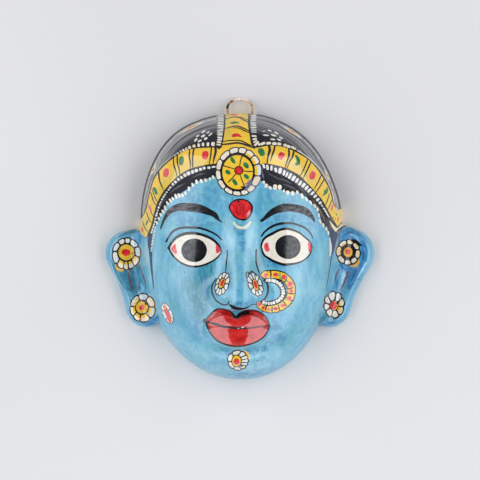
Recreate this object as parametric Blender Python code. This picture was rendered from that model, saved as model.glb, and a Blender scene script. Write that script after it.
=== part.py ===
"""A painted hanging mask: a moulded shell of face, headdress and ears, and its twine loop.

The mask lies on its flat back rim, face up. X runs across the face, Y from the chin to the crown and Z out of
the face. The origin is on the surface that it lies on, under the middle of the shell.
"""

import math
from collections import namedtuple

import bmesh
import bpy
from mathutils import Vector

MM = 0.001

# Shell
HEAD_HALF_WIDTH = 52.4 * MM
CROWN_REACH = 58.9 * MM  # from the widest line of the head up to the crown
CHIN_REACH = 79.4 * MM  # from the widest line down to the chin
DOME_HEIGHT = 38.0 * MM  # of the plain form, without nose or lips
RIM_STRAIGHT = 3.0 * MM  # upright part of the wall, next to the back rim
WALL = 4.5 * MM

# How full the head is, seen from the front and from the side: 2 is an ellipse
FRONT_FULLNESS = 2.1
SIDE_FULLNESS = 2.4
EDGE_FULLNESS = 2.4

# The hand-formed outline swings in and out by this much: (waves around, where the first one peaks)
OUTLINE_SWING = 0.4 * MM
OUTLINE_WAVES = ((3, math.radians(-15)), (5, math.radians(19)))

# Ears: two round lobes each, with straight edges between them
EAR_REACH = 70.0 * MM  # from the middle of the face out to each ear's edge
EAR_DROP = 13.7 * MM  # from the widest line down to the middle of the upper lobe
LEFT_UPPER_LOBE = 11.6 * MM  # radius
RIGHT_UPPER_LOBE = 12.4 * MM  # radius
LOWER_LOBE = 11.1 * MM  # radius
LOWER_LOBE_INWARD = 9.5 * MM  # from the middle of the upper lobe
LOWER_LOBE_DROP = 27.3 * MM  # from the middle of the upper lobe
EAR_WAIST = 1.3 * MM  # how far the edges pull in between the lobes
EAR_THICKNESS = 8.0 * MM
EAR_EDGE = 2.0 * MM  # upright part of the ear's edge
EAR_ROUND = 4.5 * MM  # width of the rounding from that edge to the full thickness
EAR_CUP = 3.0 * MM  # depth of the hollow between the lobes
EAR_CUP_START = 2.2 * MM  # from the ear's edge in to where that hollow begins
EAR_CUP_SLOPE = 6.8 * MM  # width of its slope
LOBE_CUP = 0.25  # depth of the hollow at the lobes, as a share of its depth between them
Ear = namedtuple("Ear", "side upper_radius")
LEFT_EAR = Ear(-1, LEFT_UPPER_LOBE)
RIGHT_EAR = Ear(1, RIGHT_UPPER_LOBE)

# Loop
TWINE = 1.5 * MM
TWINE_CLEARANCE = 0.3 * MM
SOCKET_DEPTH = 3.3 * MM
SOCKET_HEIGHT = 4.2 * MM  # of the sockets' middle above the back rim
LOOP_HALF_WIDTH = 6.2 * MM
LOOP_RISE = 7.8 * MM  # from the crown's edge to the far end of the loop
LOOP_CLEAR = 0.5 * MM  # between the loop's far end and the surface that the mask lies on
LOOP_STEPS = 24  # points along the loop's tube

# Carving. Places and half sizes across are shares of the head's half width, those down are shares of the chin's
# reach, counted from the widest line, and lifts are shares of the dome's height.
Mound = namedtuple("Mound", "across down half_wide half_high lift")
MOUNDS = {
    "left_brow": Mound(-0.44, -0.12, 0.40, 0.11, 0.035),
    "right_brow": Mound(0.45, -0.13, 0.40, 0.11, 0.035),
    "left_socket": Mound(-0.38, 0.10, 0.40, 0.15, -0.045),
    "right_socket": Mound(0.39, 0.09, 0.40, 0.15, -0.045),
    "left_cheek": Mound(-0.50, 0.42, 0.30, 0.21, 0.085),
    "right_cheek": Mound(0.51, 0.41, 0.30, 0.21, 0.085),
    "muzzle": Mound(-0.02, 0.64, 0.42, 0.17, 0.08),
    "under_lip": Mound(-0.03, 0.81, 0.22, 0.035, -0.035),
    "chin": Mound(-0.03, 0.885, 0.27, 0.10, 0.11),
}
EYES = (Mound(-0.45, 0.164, 0.28, 0.118, 0.06), Mound(0.465, 0.142, 0.28, 0.118, 0.06))
WINGS = (Mound(-0.185, 0.425, 0.115, 0.082, 0.20), Mound(0.19, 0.425, 0.115, 0.082, 0.20))
Nose = namedtuple("Nose", "top tip base bridge_half tip_half bridge_lift tip_lift")
NOSE = Nose(-0.03, 0.46, 0.55, 0.125, 0.19, 0.05, 0.315)
Lips = namedtuple("Lips", "across half_wide top dip line bottom lift")
LIPS = Lips(-0.033, 0.335, 0.545, 0.05, 0.66, 0.792, 0.10)
NOSE_LATENESS = 1.5  # how late the ridge rises on its way to the tip: 1 is a straight slope
NOSE_SWELL = 1.5  # how much it swells just above the tip
NOSE_FULLNESS = 2.6  # how square the ridge is across
NOSE_ROOT = 0.09  # length of the ridge's soft end above its top
LIP_DIP_HALF_WIDTH = 0.14  # of the dip under the nose, as a share of the lips' half width
LIP_GROOVE = 0.55  # depth of the groove between the lips, as a share of their lift
LIP_GROOVE_REACH = 0.45  # how far that groove reaches over each lip, as a share of it
INNER_NOSE = Mound(0.0, 0.40, 0.20, 0.16, 0.17)  # the hollow behind the nose
SOFT, FIRM = 2.0, 3.0  # how flat a mound's top is: a soft one is a bell
CARVING_FADE = 0.12  # share of the way in from the outline over which the carving rises

# Mesh
HEAD_SEGMENTS, HEAD_RINGS = 96, 34
HOLLOW_SEGMENTS, HOLLOW_RINGS = 48, 10
EAR_SEGMENTS, EAR_RINGS = 48, 9
CLOSER_BELOW = 0.4  # how much closer the segments lie towards the chin than on average
CLOSER_MIDWAY = 0.35  # the same for the rings midway between the pole and the rim
SKIRT = 6.0 * MM  # how far each form runs below the back rim before that is cut flat
HOLLOW_SKIRT = 8.0 * MM  # the hollow's cutter runs lower, out through the head's
SHARP_ANGLE = math.radians(50)


def head_reach(angle, inset=0.0):
    """Distance from the head's middle to its outline, in this direction."""
    across, up = math.cos(angle), math.sin(angle)
    reach_up = (CROWN_REACH if up >= 0 else CHIN_REACH) - inset
    share = abs(across / (HEAD_HALF_WIDTH - inset)) ** FRONT_FULLNESS + abs(up / reach_up) ** FRONT_FULLNESS
    swing = sum(math.cos(waves * angle - peak) for waves, peak in OUTLINE_WAVES)
    return share ** (-1 / FRONT_FULLNESS) + OUTLINE_SWING * swing


def head_middle():
    """The head's middle, placed so that the shell's middle is over the origin."""
    heights = [head_reach(math.radians(a)) * math.sin(math.radians(a)) for a in range(-180, 180)]
    return Vector((0, -(max(heights) + min(heights)) / 2))


MIDDLE = head_middle()


def dome(share, height):
    """Height of the plain dome at this share of the way from its middle to its outline."""
    rest = max(0.0, 1 - share**SIDE_FULLNESS) ** (1 / EDGE_FULLNESS)
    return RIM_STRAIGHT + (height - RIM_STRAIGHT) * rest


def mound(feature, across, down, hardness=SOFT):
    """A round mound, soft at its foot."""
    away = math.hypot((across - feature.across) / feature.half_wide, (down - feature.down) / feature.half_high)
    return feature.lift * math.exp(-(away**hardness))


def nose_ridge(across, down):
    """The ridge of the nose, which widens and rises to a round tip and falls steeply below it."""
    along = min(1.0, max(0.0, (down - NOSE.top) / (NOSE.tip - NOSE.top)))
    rise = along**NOSE_LATENESS * (1 + NOSE_SWELL * (1 - along) * along**3)
    lift = NOSE.bridge_lift + (NOSE.tip_lift - NOSE.bridge_lift) * rise
    if down < NOSE.top:
        lift *= math.exp(-(((NOSE.top - down) / NOSE_ROOT) ** 2))
    if down > NOSE.tip:
        lift *= math.sqrt(max(0.0, 1 - ((down - NOSE.tip) / (NOSE.base - NOSE.tip)) ** 2))
    half = NOSE.bridge_half + (NOSE.tip_half - NOSE.bridge_half) * along
    return lift * math.exp(-(abs(across / half) ** NOSE_FULLNESS))


def lips(across, down):
    """Two full lips that part at a shallow groove, dip under the nose and taper to the mouth's corners."""
    aside = (across - LIPS.across) / LIPS.half_wide
    if abs(aside) >= 1:
        return 0.0
    taper = 1 - aside**2
    upper = LIPS.line - LIPS.top - LIPS.dip * math.exp(-((aside / LIP_DIP_HALF_WIDTH) ** 2))
    reach = upper if down < LIPS.line else LIPS.bottom - LIPS.line
    away = abs(down - LIPS.line) / (reach * taper**0.6)
    if away >= 1:
        return 0.0
    groove = LIP_GROOVE * (1 - min(1.0, away / LIP_GROOVE_REACH) ** 1.5)
    return LIPS.lift * taper**0.4 * (1 - away**2) ** 0.7 * (1 - groove)


def carving(x, y):
    """Height of the carving over the plain dome."""
    across = x / HEAD_HALF_WIDTH
    down = (MIDDLE.y - y) / CHIN_REACH
    lift = sum(mound(feature, across, down) for feature in MOUNDS.values())
    lift += sum(mound(eye, across, down, FIRM) for eye in EYES)
    lift += lips(across, down)
    raised = [nose_ridge(across, down)] + [mound(wing, across, down, FIRM) for wing in WINGS]
    lift += sum(part**3 for part in raised) ** (1 / 3)
    return lift * DOME_HEIGHT


def edge_fade(share):
    """Takes the carving down to nothing at the outline, which stays as named."""
    return min(1.0, (1 - share) / CARVING_FADE)


def head_height(x, y, share):
    return dome(share, DOME_HEIGHT) + carving(x, y) * edge_fade(share)


def hollow_height(x, y, share):
    behind_nose = mound(INNER_NOSE, x / HEAD_HALF_WIDTH, (MIDDLE.y - y) / CHIN_REACH)
    return dome(share, DOME_HEIGHT - WALL) + behind_nose * DOME_HEIGHT


def lobes(ear):
    """Middles of the ear's upper and lower lobes."""
    upper = Vector((ear.side * (EAR_REACH - ear.upper_radius), MIDDLE.y - EAR_DROP))
    return upper, upper + Vector((-ear.side * LOWER_LOBE_INWARD, -LOWER_LOBE_DROP))


def ear_depth(ear, point):
    """How far the point is inside the ear's outline, and where along the ear, from 0 at the top lobe to 1."""
    upper, lower = lobes(ear)
    steps = 24
    found = []
    for step in range(steps + 1):
        along = step / steps
        radius = ear.upper_radius + (LOWER_LOBE - ear.upper_radius) * along
        radius -= EAR_WAIST * math.sin(math.pi * along)
        found.append((radius - (point - upper.lerp(lower, along)).length, along))
    return max(found)


def ear_reach(ear, angle):
    """Distance from the ear's middle to its outline, in this direction, found by halving."""
    upper, lower = lobes(ear)
    middle = upper.lerp(lower, 0.5)
    ray = Vector((math.cos(angle), math.sin(angle)))
    near, far = 0.0, (lower - upper).length + ear.upper_radius + LOWER_LOBE
    for _ in range(30):
        half = (near + far) / 2
        if ear_depth(ear, middle + ray * half)[0] > 0:
            near = half
        else:
            far = half
    return near


def ear_height(ear, x, y):
    """An ear with a rounded edge and a hollow between its lobes."""
    depth, along = ear_depth(ear, Vector((x, y)))
    depth = max(0.0, depth)
    rise = math.sqrt(1 - (1 - min(1.0, depth / EAR_ROUND)) ** 2)
    inner = min(1.0, max(0.0, depth - EAR_CUP_START) / EAR_CUP_SLOPE)
    between = LOBE_CUP + (1 - LOBE_CUP) * math.sin(math.pi * along)
    cup = inner**2 * (3 - 2 * inner) * between
    return EAR_EDGE + (EAR_THICKNESS - EAR_EDGE) * rise - EAR_CUP * cup


def closer_towards_chin(angle):
    """Turns even directions into ones that lie closer together towards the chin."""
    from_chin = angle + math.pi / 2
    return angle - CLOSER_BELOW * math.sin(from_chin)


def even_around_ear(ear, angle):
    """Turns even directions into ones that meet the long outline of the ear at even steps."""
    upper, lower = lobes(ear)
    lean = math.atan2(upper.y - lower.y, upper.x - lower.x)
    long, short = (upper - lower).length / 2 + ear.upper_radius, LOWER_LOBE
    return lean + math.atan2(short * math.sin(angle - lean), long * math.cos(angle - lean))


def ring_share(even):
    """Turns even steps from pole to rim into shares of the reach, closer together midway."""
    step = even + CLOSER_MIDWAY * math.sin(2 * math.pi * even) / (2 * math.pi)
    return math.sin(step * math.pi / 2) ** (2 / SIDE_FULLNESS)


def moulded_form(
    name, middle, reach, height, segments, rings, collection, turn=lambda angle: angle, skirt=SKIRT
):
    """A closed form on a flat base: the upper half of a sphere, pushed out to reach and up to height."""
    bm = bmesh.new()
    bmesh.ops.create_uvsphere(bm, u_segments=segments, v_segments=2 * rings, radius=1)
    bmesh.ops.delete(bm, geom=[v for v in bm.verts if v.co.z < -0.001], context="VERTS")
    for vertex in bm.verts:
        angle = turn(math.atan2(vertex.co.y, vertex.co.x))
        share = ring_share(math.acos(min(1.0, max(0.0, vertex.co.z))) / (math.pi / 2))
        out = reach(angle) * share
        x, y = middle.x + out * math.cos(angle), middle.y + out * math.sin(angle)
        vertex.co = (x, y, height(x, y, share))
    rim = [edge for edge in bm.edges if edge.is_boundary]
    lowered = bmesh.ops.extrude_edge_only(bm, edges=rim)["geom"]
    for vertex in (part for part in lowered if isinstance(part, bmesh.types.BMVert)):
        vertex.co.z = -skirt
    bmesh.ops.holes_fill(bm, edges=[edge for edge in bm.edges if edge.is_boundary])
    bmesh.ops.recalc_face_normals(bm, faces=bm.faces)
    return add_object(name, bm, collection)


def add_object(name, bm, collection):
    mesh = bpy.data.meshes.new(name)
    bm.to_mesh(mesh)
    bm.free()
    mesh.shade_smooth()
    mesh.set_sharp_from_angle(angle=SHARP_ANGLE)
    made = bpy.data.objects.new(name, mesh)
    collection.objects.link(made)
    return made


def add_collection(name):
    made = bpy.data.collections.new(name)
    bpy.context.scene.collection.children.link(made)
    return made


def add_material(name, colour, roughness):
    made = bpy.data.materials.new(name)
    made.use_nodes = True
    shader = made.node_tree.nodes["Principled BSDF"]
    shader.inputs["Base Color"].default_value = (*colour, 1)
    shader.inputs["Roughness"].default_value = roughness
    shader.inputs["Metallic"].default_value = 0
    return made


def combine(target, other, operation):
    """Joins the helper to the target, or cuts it away, and keeps the helper out of the render."""
    modifier = target.modifiers.new(other.name, "BOOLEAN")
    modifier.operation = operation
    modifier.object = other
    other.hide_render = True
    other.display_type = "WIRE"


def socket_place(side):
    """Middle of the crown's outer wall where one end of the loop goes in."""
    angle = math.acos(side * LOOP_HALF_WIDTH / head_reach(math.pi / 2))
    return Vector((side * LOOP_HALF_WIDTH, MIDDLE.y + head_reach(angle) * math.sin(angle), SOCKET_HEIGHT))


def add_socket(side, collection):
    """Cutter for a blind hole in the crown's wall, open to the outside."""
    bm = bmesh.new()
    radius = TWINE / 2 + TWINE_CLEARANCE
    length = 3 * SOCKET_DEPTH
    bmesh.ops.create_cone(bm, cap_ends=True, segments=12, radius1=radius, radius2=radius, depth=length)
    made = add_object("loop_socket_cutter", bm, collection)
    made.rotation_euler.x = math.pi / 2
    made.location = socket_place(side) + Vector((0, length / 2 - SOCKET_DEPTH, 0))
    return made


def add_base_cutter(collection):
    """Cutter for all that lies below the back rim."""
    bm = bmesh.new()
    bmesh.ops.create_cube(bm, size=1)
    depth = 2 * HOLLOW_SKIRT
    bmesh.ops.scale(bm, verts=bm.verts, vec=(4 * EAR_REACH, 4 * CHIN_REACH, depth))
    made = add_object("base_cutter", bm, collection)
    made.location.z = -depth / 2
    return made


def add_mask(parts, helpers):
    mask = moulded_form(
        "mask", MIDDLE, head_reach, head_height, HEAD_SEGMENTS, HEAD_RINGS, parts, closer_towards_chin
    )
    for ear in (LEFT_EAR, RIGHT_EAR):
        upper, lower = lobes(ear)
        form = moulded_form(
            "left_ear" if ear.side < 0 else "right_ear",
            upper.lerp(lower, 0.5),
            lambda angle, ear=ear: ear_reach(ear, angle),
            lambda x, y, share, ear=ear: ear_height(ear, x, y),
            EAR_SEGMENTS,
            EAR_RINGS,
            helpers,
            lambda angle, ear=ear: even_around_ear(ear, angle),
        )
        combine(mask, form, "UNION")
    hollow = moulded_form(
        "hollow_cutter",
        MIDDLE,
        lambda angle: head_reach(angle, WALL),
        hollow_height,
        HOLLOW_SEGMENTS,
        HOLLOW_RINGS,
        helpers,
        skirt=HOLLOW_SKIRT,
    )
    combine(mask, hollow, "DIFFERENCE")
    for side in (-1, 1):
        combine(mask, add_socket(side, helpers), "DIFFERENCE")
    combine(mask, add_base_cutter(helpers), "DIFFERENCE")
    mask.data.materials.append(add_material("painted_paste", (0.16, 0.47, 0.70), 0.25))
    return mask


def loop_route():
    """The loop's own points, chosen by hand: out of the left socket, round and into the right one."""
    left, right = socket_place(-1), socket_place(1)
    inside = Vector((0, SOCKET_DEPTH - TWINE_CLEARANCE, 0))
    lying = TWINE / 2 + LOOP_CLEAR
    crown = (left.y + right.y) / 2
    half, rise = LOOP_HALF_WIDTH, LOOP_RISE
    return [
        left - inside,
        left,
        Vector((-1.06 * half, crown + 0.34 * rise, 0.92 * SOCKET_HEIGHT)),
        Vector((-0.96 * half, crown + 0.64 * rise, 0.70 * SOCKET_HEIGHT)),
        Vector((-0.64 * half, crown + 0.88 * rise, 0.44 * SOCKET_HEIGHT)),
        Vector((-0.12 * half, crown + rise, lying)),
        Vector((0.42 * half, crown + 0.96 * rise, lying)),
        Vector((0.84 * half, crown + 0.74 * rise, 0.52 * SOCKET_HEIGHT)),
        Vector((1.03 * half, crown + 0.40 * rise, 0.82 * SOCKET_HEIGHT)),
        right,
        right - inside,
    ]


def smooth_points(route, count):
    """Points at even steps of a Catmull-Rom curve through the route."""
    ends = [2 * route[0] - route[1], *route, 2 * route[-1] - route[-2]]
    found = []
    for step in range(count):
        at = step / (count - 1) * (len(route) - 1)
        start = min(int(at), len(route) - 2)
        a, b, c, d = ends[start : start + 4]
        t = at - start
        found.append(
            (2 * b + (c - a) * t + (2 * a - 5 * b + 4 * c - d) * t**2 + (3 * b - a - 3 * c + d) * t**3) / 2
        )
    return found


def add_loop(parts):
    curve = bpy.data.curves.new("hanging_loop", "CURVE")
    curve.dimensions = "3D"
    curve.bevel_depth = TWINE / 2
    curve.bevel_resolution = 2
    curve.use_fill_caps = True
    points = smooth_points(loop_route(), LOOP_STEPS)
    spline = curve.splines.new("POLY")
    spline.points.add(len(points) - 1)
    for place, point in zip(spline.points, points):
        place.co = (*point, 1)
    curve.materials.append(add_material("twine", (0.45, 0.30, 0.17), 0.85))
    made = bpy.data.objects.new("hanging_loop", curve)
    parts.objects.link(made)
    return made


def clear_scene():
    for old in list(bpy.data.objects):
        bpy.data.objects.remove(old)


def main():
    clear_scene()
    parts = add_collection("cheriyal_mask")
    helpers = add_collection("cutters")
    add_mask(parts, helpers)
    add_loop(parts)


main()
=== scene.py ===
"""Looks of a painted hanging mask: its finely modelled shell with every painted line and jewel, the twine
loop, a pale floor and two soft studio lights. Lengths are in metres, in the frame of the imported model.
Painted shapes are given in pixels of the photograph and are projected onto the shell from the camera.
"""

import math

import bmesh
import bpy
import numpy as np
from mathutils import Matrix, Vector
from mathutils.geometry import delaunay_2d_cdt


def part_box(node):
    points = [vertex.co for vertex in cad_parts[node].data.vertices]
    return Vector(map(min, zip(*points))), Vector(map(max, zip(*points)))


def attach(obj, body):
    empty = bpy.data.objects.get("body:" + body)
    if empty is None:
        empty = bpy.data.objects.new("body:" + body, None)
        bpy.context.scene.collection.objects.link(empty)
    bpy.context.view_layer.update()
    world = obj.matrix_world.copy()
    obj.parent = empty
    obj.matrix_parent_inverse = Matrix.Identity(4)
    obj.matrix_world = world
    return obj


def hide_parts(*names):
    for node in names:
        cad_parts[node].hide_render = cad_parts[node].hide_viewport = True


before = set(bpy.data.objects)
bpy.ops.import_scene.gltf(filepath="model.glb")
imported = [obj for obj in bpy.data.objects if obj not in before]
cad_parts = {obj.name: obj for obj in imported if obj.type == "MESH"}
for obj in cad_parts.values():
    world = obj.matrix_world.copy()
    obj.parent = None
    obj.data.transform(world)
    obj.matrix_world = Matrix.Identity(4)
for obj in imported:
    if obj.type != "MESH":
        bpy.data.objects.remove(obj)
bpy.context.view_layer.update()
LOW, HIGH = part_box("mask")
MM = (HIGH.x - LOW.x) / 140  # the mask is 140 mm wide across its ears
PIXEL = (HIGH.x - LOW.x) / 270  # and 270 pixels wide in the photograph
PHOTO_SIDE = 480
BOX_MIDDLE_ROW = 246.25  # row of pixels that shows the middle of the mask's box

# Camera and studio
SENSOR = 36.0  # millimetres
CAMERA_HEIGHT = 2.0
SCALE_HEIGHT = 8 * MM  # at this height one pixel is as wide as PIXEL says
CAMERA_Y = (BOX_MIDDLE_ROW - PHOTO_SIDE / 2) * PIXEL

# Form of the shell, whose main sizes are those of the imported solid
HEAD_HALF_WIDTH = 52.4 * MM
CROWN_REACH = 58.9 * MM
CHIN_REACH = 79.4 * MM
DOME_HEIGHT = 38.0 * MM
RIM_STRAIGHT = 3.0 * MM
WALL = 4.5 * MM
FRONT_FULLNESS = 2.1
SIDE_FULLNESS = 2.4
EDGE_FULLNESS = 2.4
OUTLINE_SWING = 0.4 * MM
OUTLINE_WAVES = ((3, math.radians(-15)), (5, math.radians(19)))
CROWN_SWELLS = ((math.radians(125), 1.7 * MM), (math.radians(50), 0.8 * MM))  # fuller than the solid
SWELL_HALF = math.radians(19)
EAR_REACH = 70.0 * MM
EAR_DROP = 13.7 * MM
EAR_WAIST = 1.3 * MM
EAR_THICKNESS = 8.0 * MM
EAR_EDGE = 2.0 * MM
EAR_ROUND = 4.5 * MM
EAR_CUP = 3.0 * MM
EAR_CUP_START = 2.2 * MM
EAR_CUP_SLOPE = 6.8 * MM
LOBE_CUP = 0.25
UPPER_LOBES = {-1: 11.6 * MM, 1: 12.4 * MM}  # radius of each ear's upper lobe, by its side
LOWER_LOBE = 11.1 * MM
LOWER_LOBES_INWARD = {-1: 10.0 * MM, 1: 11.2 * MM}
LOWER_LOBE_DROP = 27.3 * MM
SHOULDERS = {-1: (9.6 * MM, 3.8 * MM, 10.4 * MM), 1: (5.8 * MM, 3.3 * MM, 11.4 * MM)}  # inward, up and radius
SHOULDER_BLEND = 1.3 * MM
EAR_STEPS = 97  # circles along an ear, which its outline goes round

# Carving of the face, as shares of the head
MOUNDS = (  # across, down, half the width, half the height, and lift
    (-0.44, -0.12, 0.40, 0.11, 0.035),
    (0.45, -0.13, 0.40, 0.11, 0.035),
    (-0.38, 0.10, 0.40, 0.15, -0.045),
    (0.39, 0.09, 0.40, 0.15, -0.045),
    (-0.50, 0.42, 0.30, 0.21, 0.085),
    (0.51, 0.41, 0.30, 0.21, 0.085),
    (-0.02, 0.69, 0.42, 0.17, 0.08),
    (-0.03, 0.81, 0.22, 0.035, -0.035),
    (-0.03, 0.885, 0.27, 0.10, 0.11),
)
EYE_MOUNDS = ((-0.45, 0.164, 0.28, 0.118, 0.06), (0.465, 0.142, 0.28, 0.118, 0.06))
WINGS = ((-0.185, 0.425, 0.115, 0.082, 0.20), (0.19, 0.425, 0.115, 0.082, 0.20))
NOSE_TOP, NOSE_TIP, NOSE_BASE = -0.03, 0.46, 0.55
BRIDGE_HALF, TIP_HALF = 0.125, 0.19
BRIDGE_LIFT, TIP_LIFT = 0.05, 0.315
NOSE_LATENESS, NOSE_SWELL, NOSE_FULLNESS, NOSE_ROOT = 1.5, 1.5, 2.6, 0.09
LIPS_ACROSS, LIPS_HALF_WIDE, LIPS_TAPER = -0.033, 0.335, 0.6  # the mouth is finer than the solid's
LIPS_TOP, LIPS_DIP, LIPS_LINE, LIPS_BOTTOM, LIPS_LIFT = 0.545, 0.04, 0.66, 0.792, 0.10
LIP_DIP_HALF_WIDTH, LIP_GROOVE, LIP_GROOVE_REACH, LOWER_LIP_SWELL = 0.25, 0.25, 0.27, 0.7
LIPS_FLATNESS, LIPS_ROUNDING = 10, 0.6
POUT = (-0.015, 0.70, 0.29, 0.15, 0.028)
INNER_NOSE = (0.0, 0.40, 0.20, 0.16, 0.17)
CARVING_FADE = 0.12

# Soft root of each ear against the head's wall, which the solid leaves sharp
ROOT_INSIDE = 3.2 * MM
ROOT_OUTSIDE = 5.5 * MM
ROOT_RISE = 9.5 * MM
ROOT_EDGE = 5.0 * MM

# Twine loop
TWINE = 1.5 * MM
TWINE_CLEARANCE = 0.3 * MM
SOCKET_DEPTH = 3.3 * MM
SOCKET_HEIGHT = 4.2 * MM
LOOP_HALF_WIDTH = 6.2 * MM
LOOP_RISE = 7.8 * MM
LOOP_CLEAR = 0.5 * MM
LOOP_STEPS = 48
TWINE_PITCH = 4.2 * MM
TWINE_STEPS = 160
PLY_OFFSET = 0.33 * MM
PLY_RADIUS = 0.45 * MM
PLY_SIDES = 12
FIBRE_RIDGES = 5  # round a ply
FIBRE_RIDGE_SIZE = 0.08  # as a share of the ply's radius
FIBRE_TWIST = 2.2  # how fast they wind, as a share of the ply's own winding

# Studio lights and floor
LIGHT_LEAN = 45.0  # degrees from straight above
LIGHT_AWAY = 1.2
LIGHT_WIDE = 0.95
LIGHT_LONG = 2.8
LIGHT_Y = -0.2  # their middles are a little towards the chin
LEFT_POWER = 14.2
RIGHT_POWER = 14.4
LIGHT_TINT = (0.95, 0.98, 1.05)
WORLD_STRENGTH = 0.34
DARK_OVERHEAD = 0.05  # share of that strength straight above
FADE_START, FADE_END = 0.7, 0.96  # heights in the sky between which it darkens
WORLD_TINT = (0.96, 0.97, 1.0, 1)
FLOOR_HALF = 6
FLOOR_DROP = 0.05 * MM

# Varnish, mesh and painted outlines
VARNISH_WAVES = 0.10 * MM
WAVES_SCALE = 90
VARNISH_IOR = 1.9
PAINT_SPECULAR = 0.1  # of the matt paint under the varnish
RIM_STROKE_SWAY = 0.25 * MM
PATCH_FULLNESS = 1.4  # of the soft changes of colour
OUTLINE_POINTS = 360
EAR_OUTLINE_POINTS = 160
EAR_ROOT = 0.93  # share of the head's reach where the ears end, inside its wall
EAR_RINGS = (0.08, 0.25, 0.5, 0.85, 1.3)  # millimetres inside an ear's outline, where its mesh is finer
EAR_GRID_INSET = 1.6 * MM
UNDERSIDE_LIFT = 0.1 * MM  # of the part of an ear's underside that lies within the head
HALVINGS = 30  # of a ray, to find an ear's outline on it
PROJECTING_PASSES = 3  # each brings a pixel's place nearer to the surface
UNROLL_COUNT = 4000  # places from the dome's middle to its edge, over which it is unrolled
ROW_SPACING = 0.866  # of a triangular grid, in steps
COARSE_STEP = 0.8 * MM  # between the points of the painted surface
FINE_STEP = 0.45 * MM  # the same over the nose and the mouth
GRID_CLEARANCE = 0.4 * FINE_STEP  # from every painted outline
FINE_BOX = ((-20.0, -62.0), (18.0, -14.0))  # corners on the unrolled dome, in millimetres
SNAP_DISTANCE = 1e-3  # millimetres within which two points of the mesh become one
HOLLOW_RINGS = 14
HOLLOW_END = 0.04  # how near its middle the hollow's last ring lies
HEAD_SLOPE_STEP = 0.05 * MM  # between the places whose heights give a slope
EAR_SLOPE_STEP = 0.02 * MM
EAR_WALL_DEPTH = 0.03 * MM  # nearer the outline an ear's normals point outwards
PAINT_STEP = 0.7  # pixels between the points of a painted outline
PETAL_POINTS = 26
PETAL_UNEVENNESS = 0.03
UNEVEN_WAVES = 5  # in the swing of every painted outline
CELL_STRIDE = 1_000_003  # a prime, larger than any count of cells in a row

dice = np.random.default_rng(7)
FIRST_THROW = dice.bit_generator.state


def add_object(name, data):
    added = bpy.data.objects.new(name, data)
    bpy.context.scene.collection.objects.link(added)
    return added


def add_camera():
    data = bpy.data.cameras.new("camera")
    data.sensor_width = SENSOR
    data.lens = SENSOR * (CAMERA_HEIGHT - SCALE_HEIGHT) / (PHOTO_SIDE * PIXEL)
    data.clip_start, data.clip_end = 0.1, 20
    camera = add_object("camera", data)
    camera.location = (0, CAMERA_Y, CAMERA_HEIGHT)
    bpy.context.scene.camera = camera


def head_reach(angle, inset=0.0, swelling=1.0):
    """Distance from the head's middle to its outline, in these directions."""
    across, up = np.cos(angle), np.sin(angle)
    reach_up = np.where(up >= 0, CROWN_REACH, CHIN_REACH) - inset
    sideways = np.abs(across / (HEAD_HALF_WIDTH - inset)) ** FRONT_FULLNESS
    share = sideways + np.abs(up / reach_up) ** FRONT_FULLNESS
    swing = sum(np.cos(waves * angle - peak) for waves, peak in OUTLINE_WAVES)
    swells = sum(swell * np.exp(-(((angle - way) / SWELL_HALF) ** 2)) for way, swell in CROWN_SWELLS)
    return share ** (-1 / FRONT_FULLNESS) + OUTLINE_SWING * swing + swelling * swells


def head_middle():
    angles = np.radians(np.arange(-180, 180))
    heights = head_reach(angles, swelling=0.0) * np.sin(angles)
    return -(heights.max() + heights.min()) / 2


MIDDLE_Y = head_middle()


def dome(share, height):
    rest = np.maximum(0, 1 - share**SIDE_FULLNESS) ** (1 / EDGE_FULLNESS)
    return RIM_STRAIGHT + (height - RIM_STRAIGHT) * rest


def mound(feature, across, down, hardness=2.0):
    middle_across, middle_down, half_wide, half_high, lift = feature
    away = np.hypot((across - middle_across) / half_wide, (down - middle_down) / half_high)
    return lift * np.exp(-(away**hardness))


def nose_ridge(across, down):
    along = np.clip((down - NOSE_TOP) / (NOSE_TIP - NOSE_TOP), 0, 1)
    rise = along**NOSE_LATENESS * (1 + NOSE_SWELL * (1 - along) * along**3)
    lift = BRIDGE_LIFT + (TIP_LIFT - BRIDGE_LIFT) * rise
    lift = lift * np.exp(-((np.maximum(0, NOSE_TOP - down) / NOSE_ROOT) ** 2))
    below = np.clip((down - NOSE_TIP) / (NOSE_BASE - NOSE_TIP), 0, 1)
    half = BRIDGE_HALF + (TIP_HALF - BRIDGE_HALF) * along
    return lift * np.sqrt(1 - below**2) * np.exp(-(np.abs(across / half) ** NOSE_FULLNESS))


def lips(across, down):
    aside = (across - LIPS_ACROSS) / LIPS_HALF_WIDE
    taper = np.maximum(1e-6, 1 - aside**2)
    upper = LIPS_LINE - LIPS_TOP - LIPS_DIP * np.exp(-((aside / LIP_DIP_HALF_WIDTH) ** 2))
    reach = np.where(down < LIPS_LINE, upper, LIPS_BOTTOM - LIPS_LINE)
    away = np.abs(down - LIPS_LINE) / (reach * taper**LIPS_TAPER)
    groove = LIP_GROOVE * np.exp(-((away / LIP_GROOVE_REACH) ** 2))
    rounded = np.maximum(0, 1 - away**LIPS_FLATNESS) ** LIPS_ROUNDING
    lift = LIPS_LIFT * taper**LIPS_TAPER * rounded * (1 - groove)
    lift = lift * np.where(down < LIPS_LINE, 1, 1 + LOWER_LIP_SWELL * away)
    return np.where((np.abs(aside) < 1) & (away < 1), lift, 0)


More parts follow.
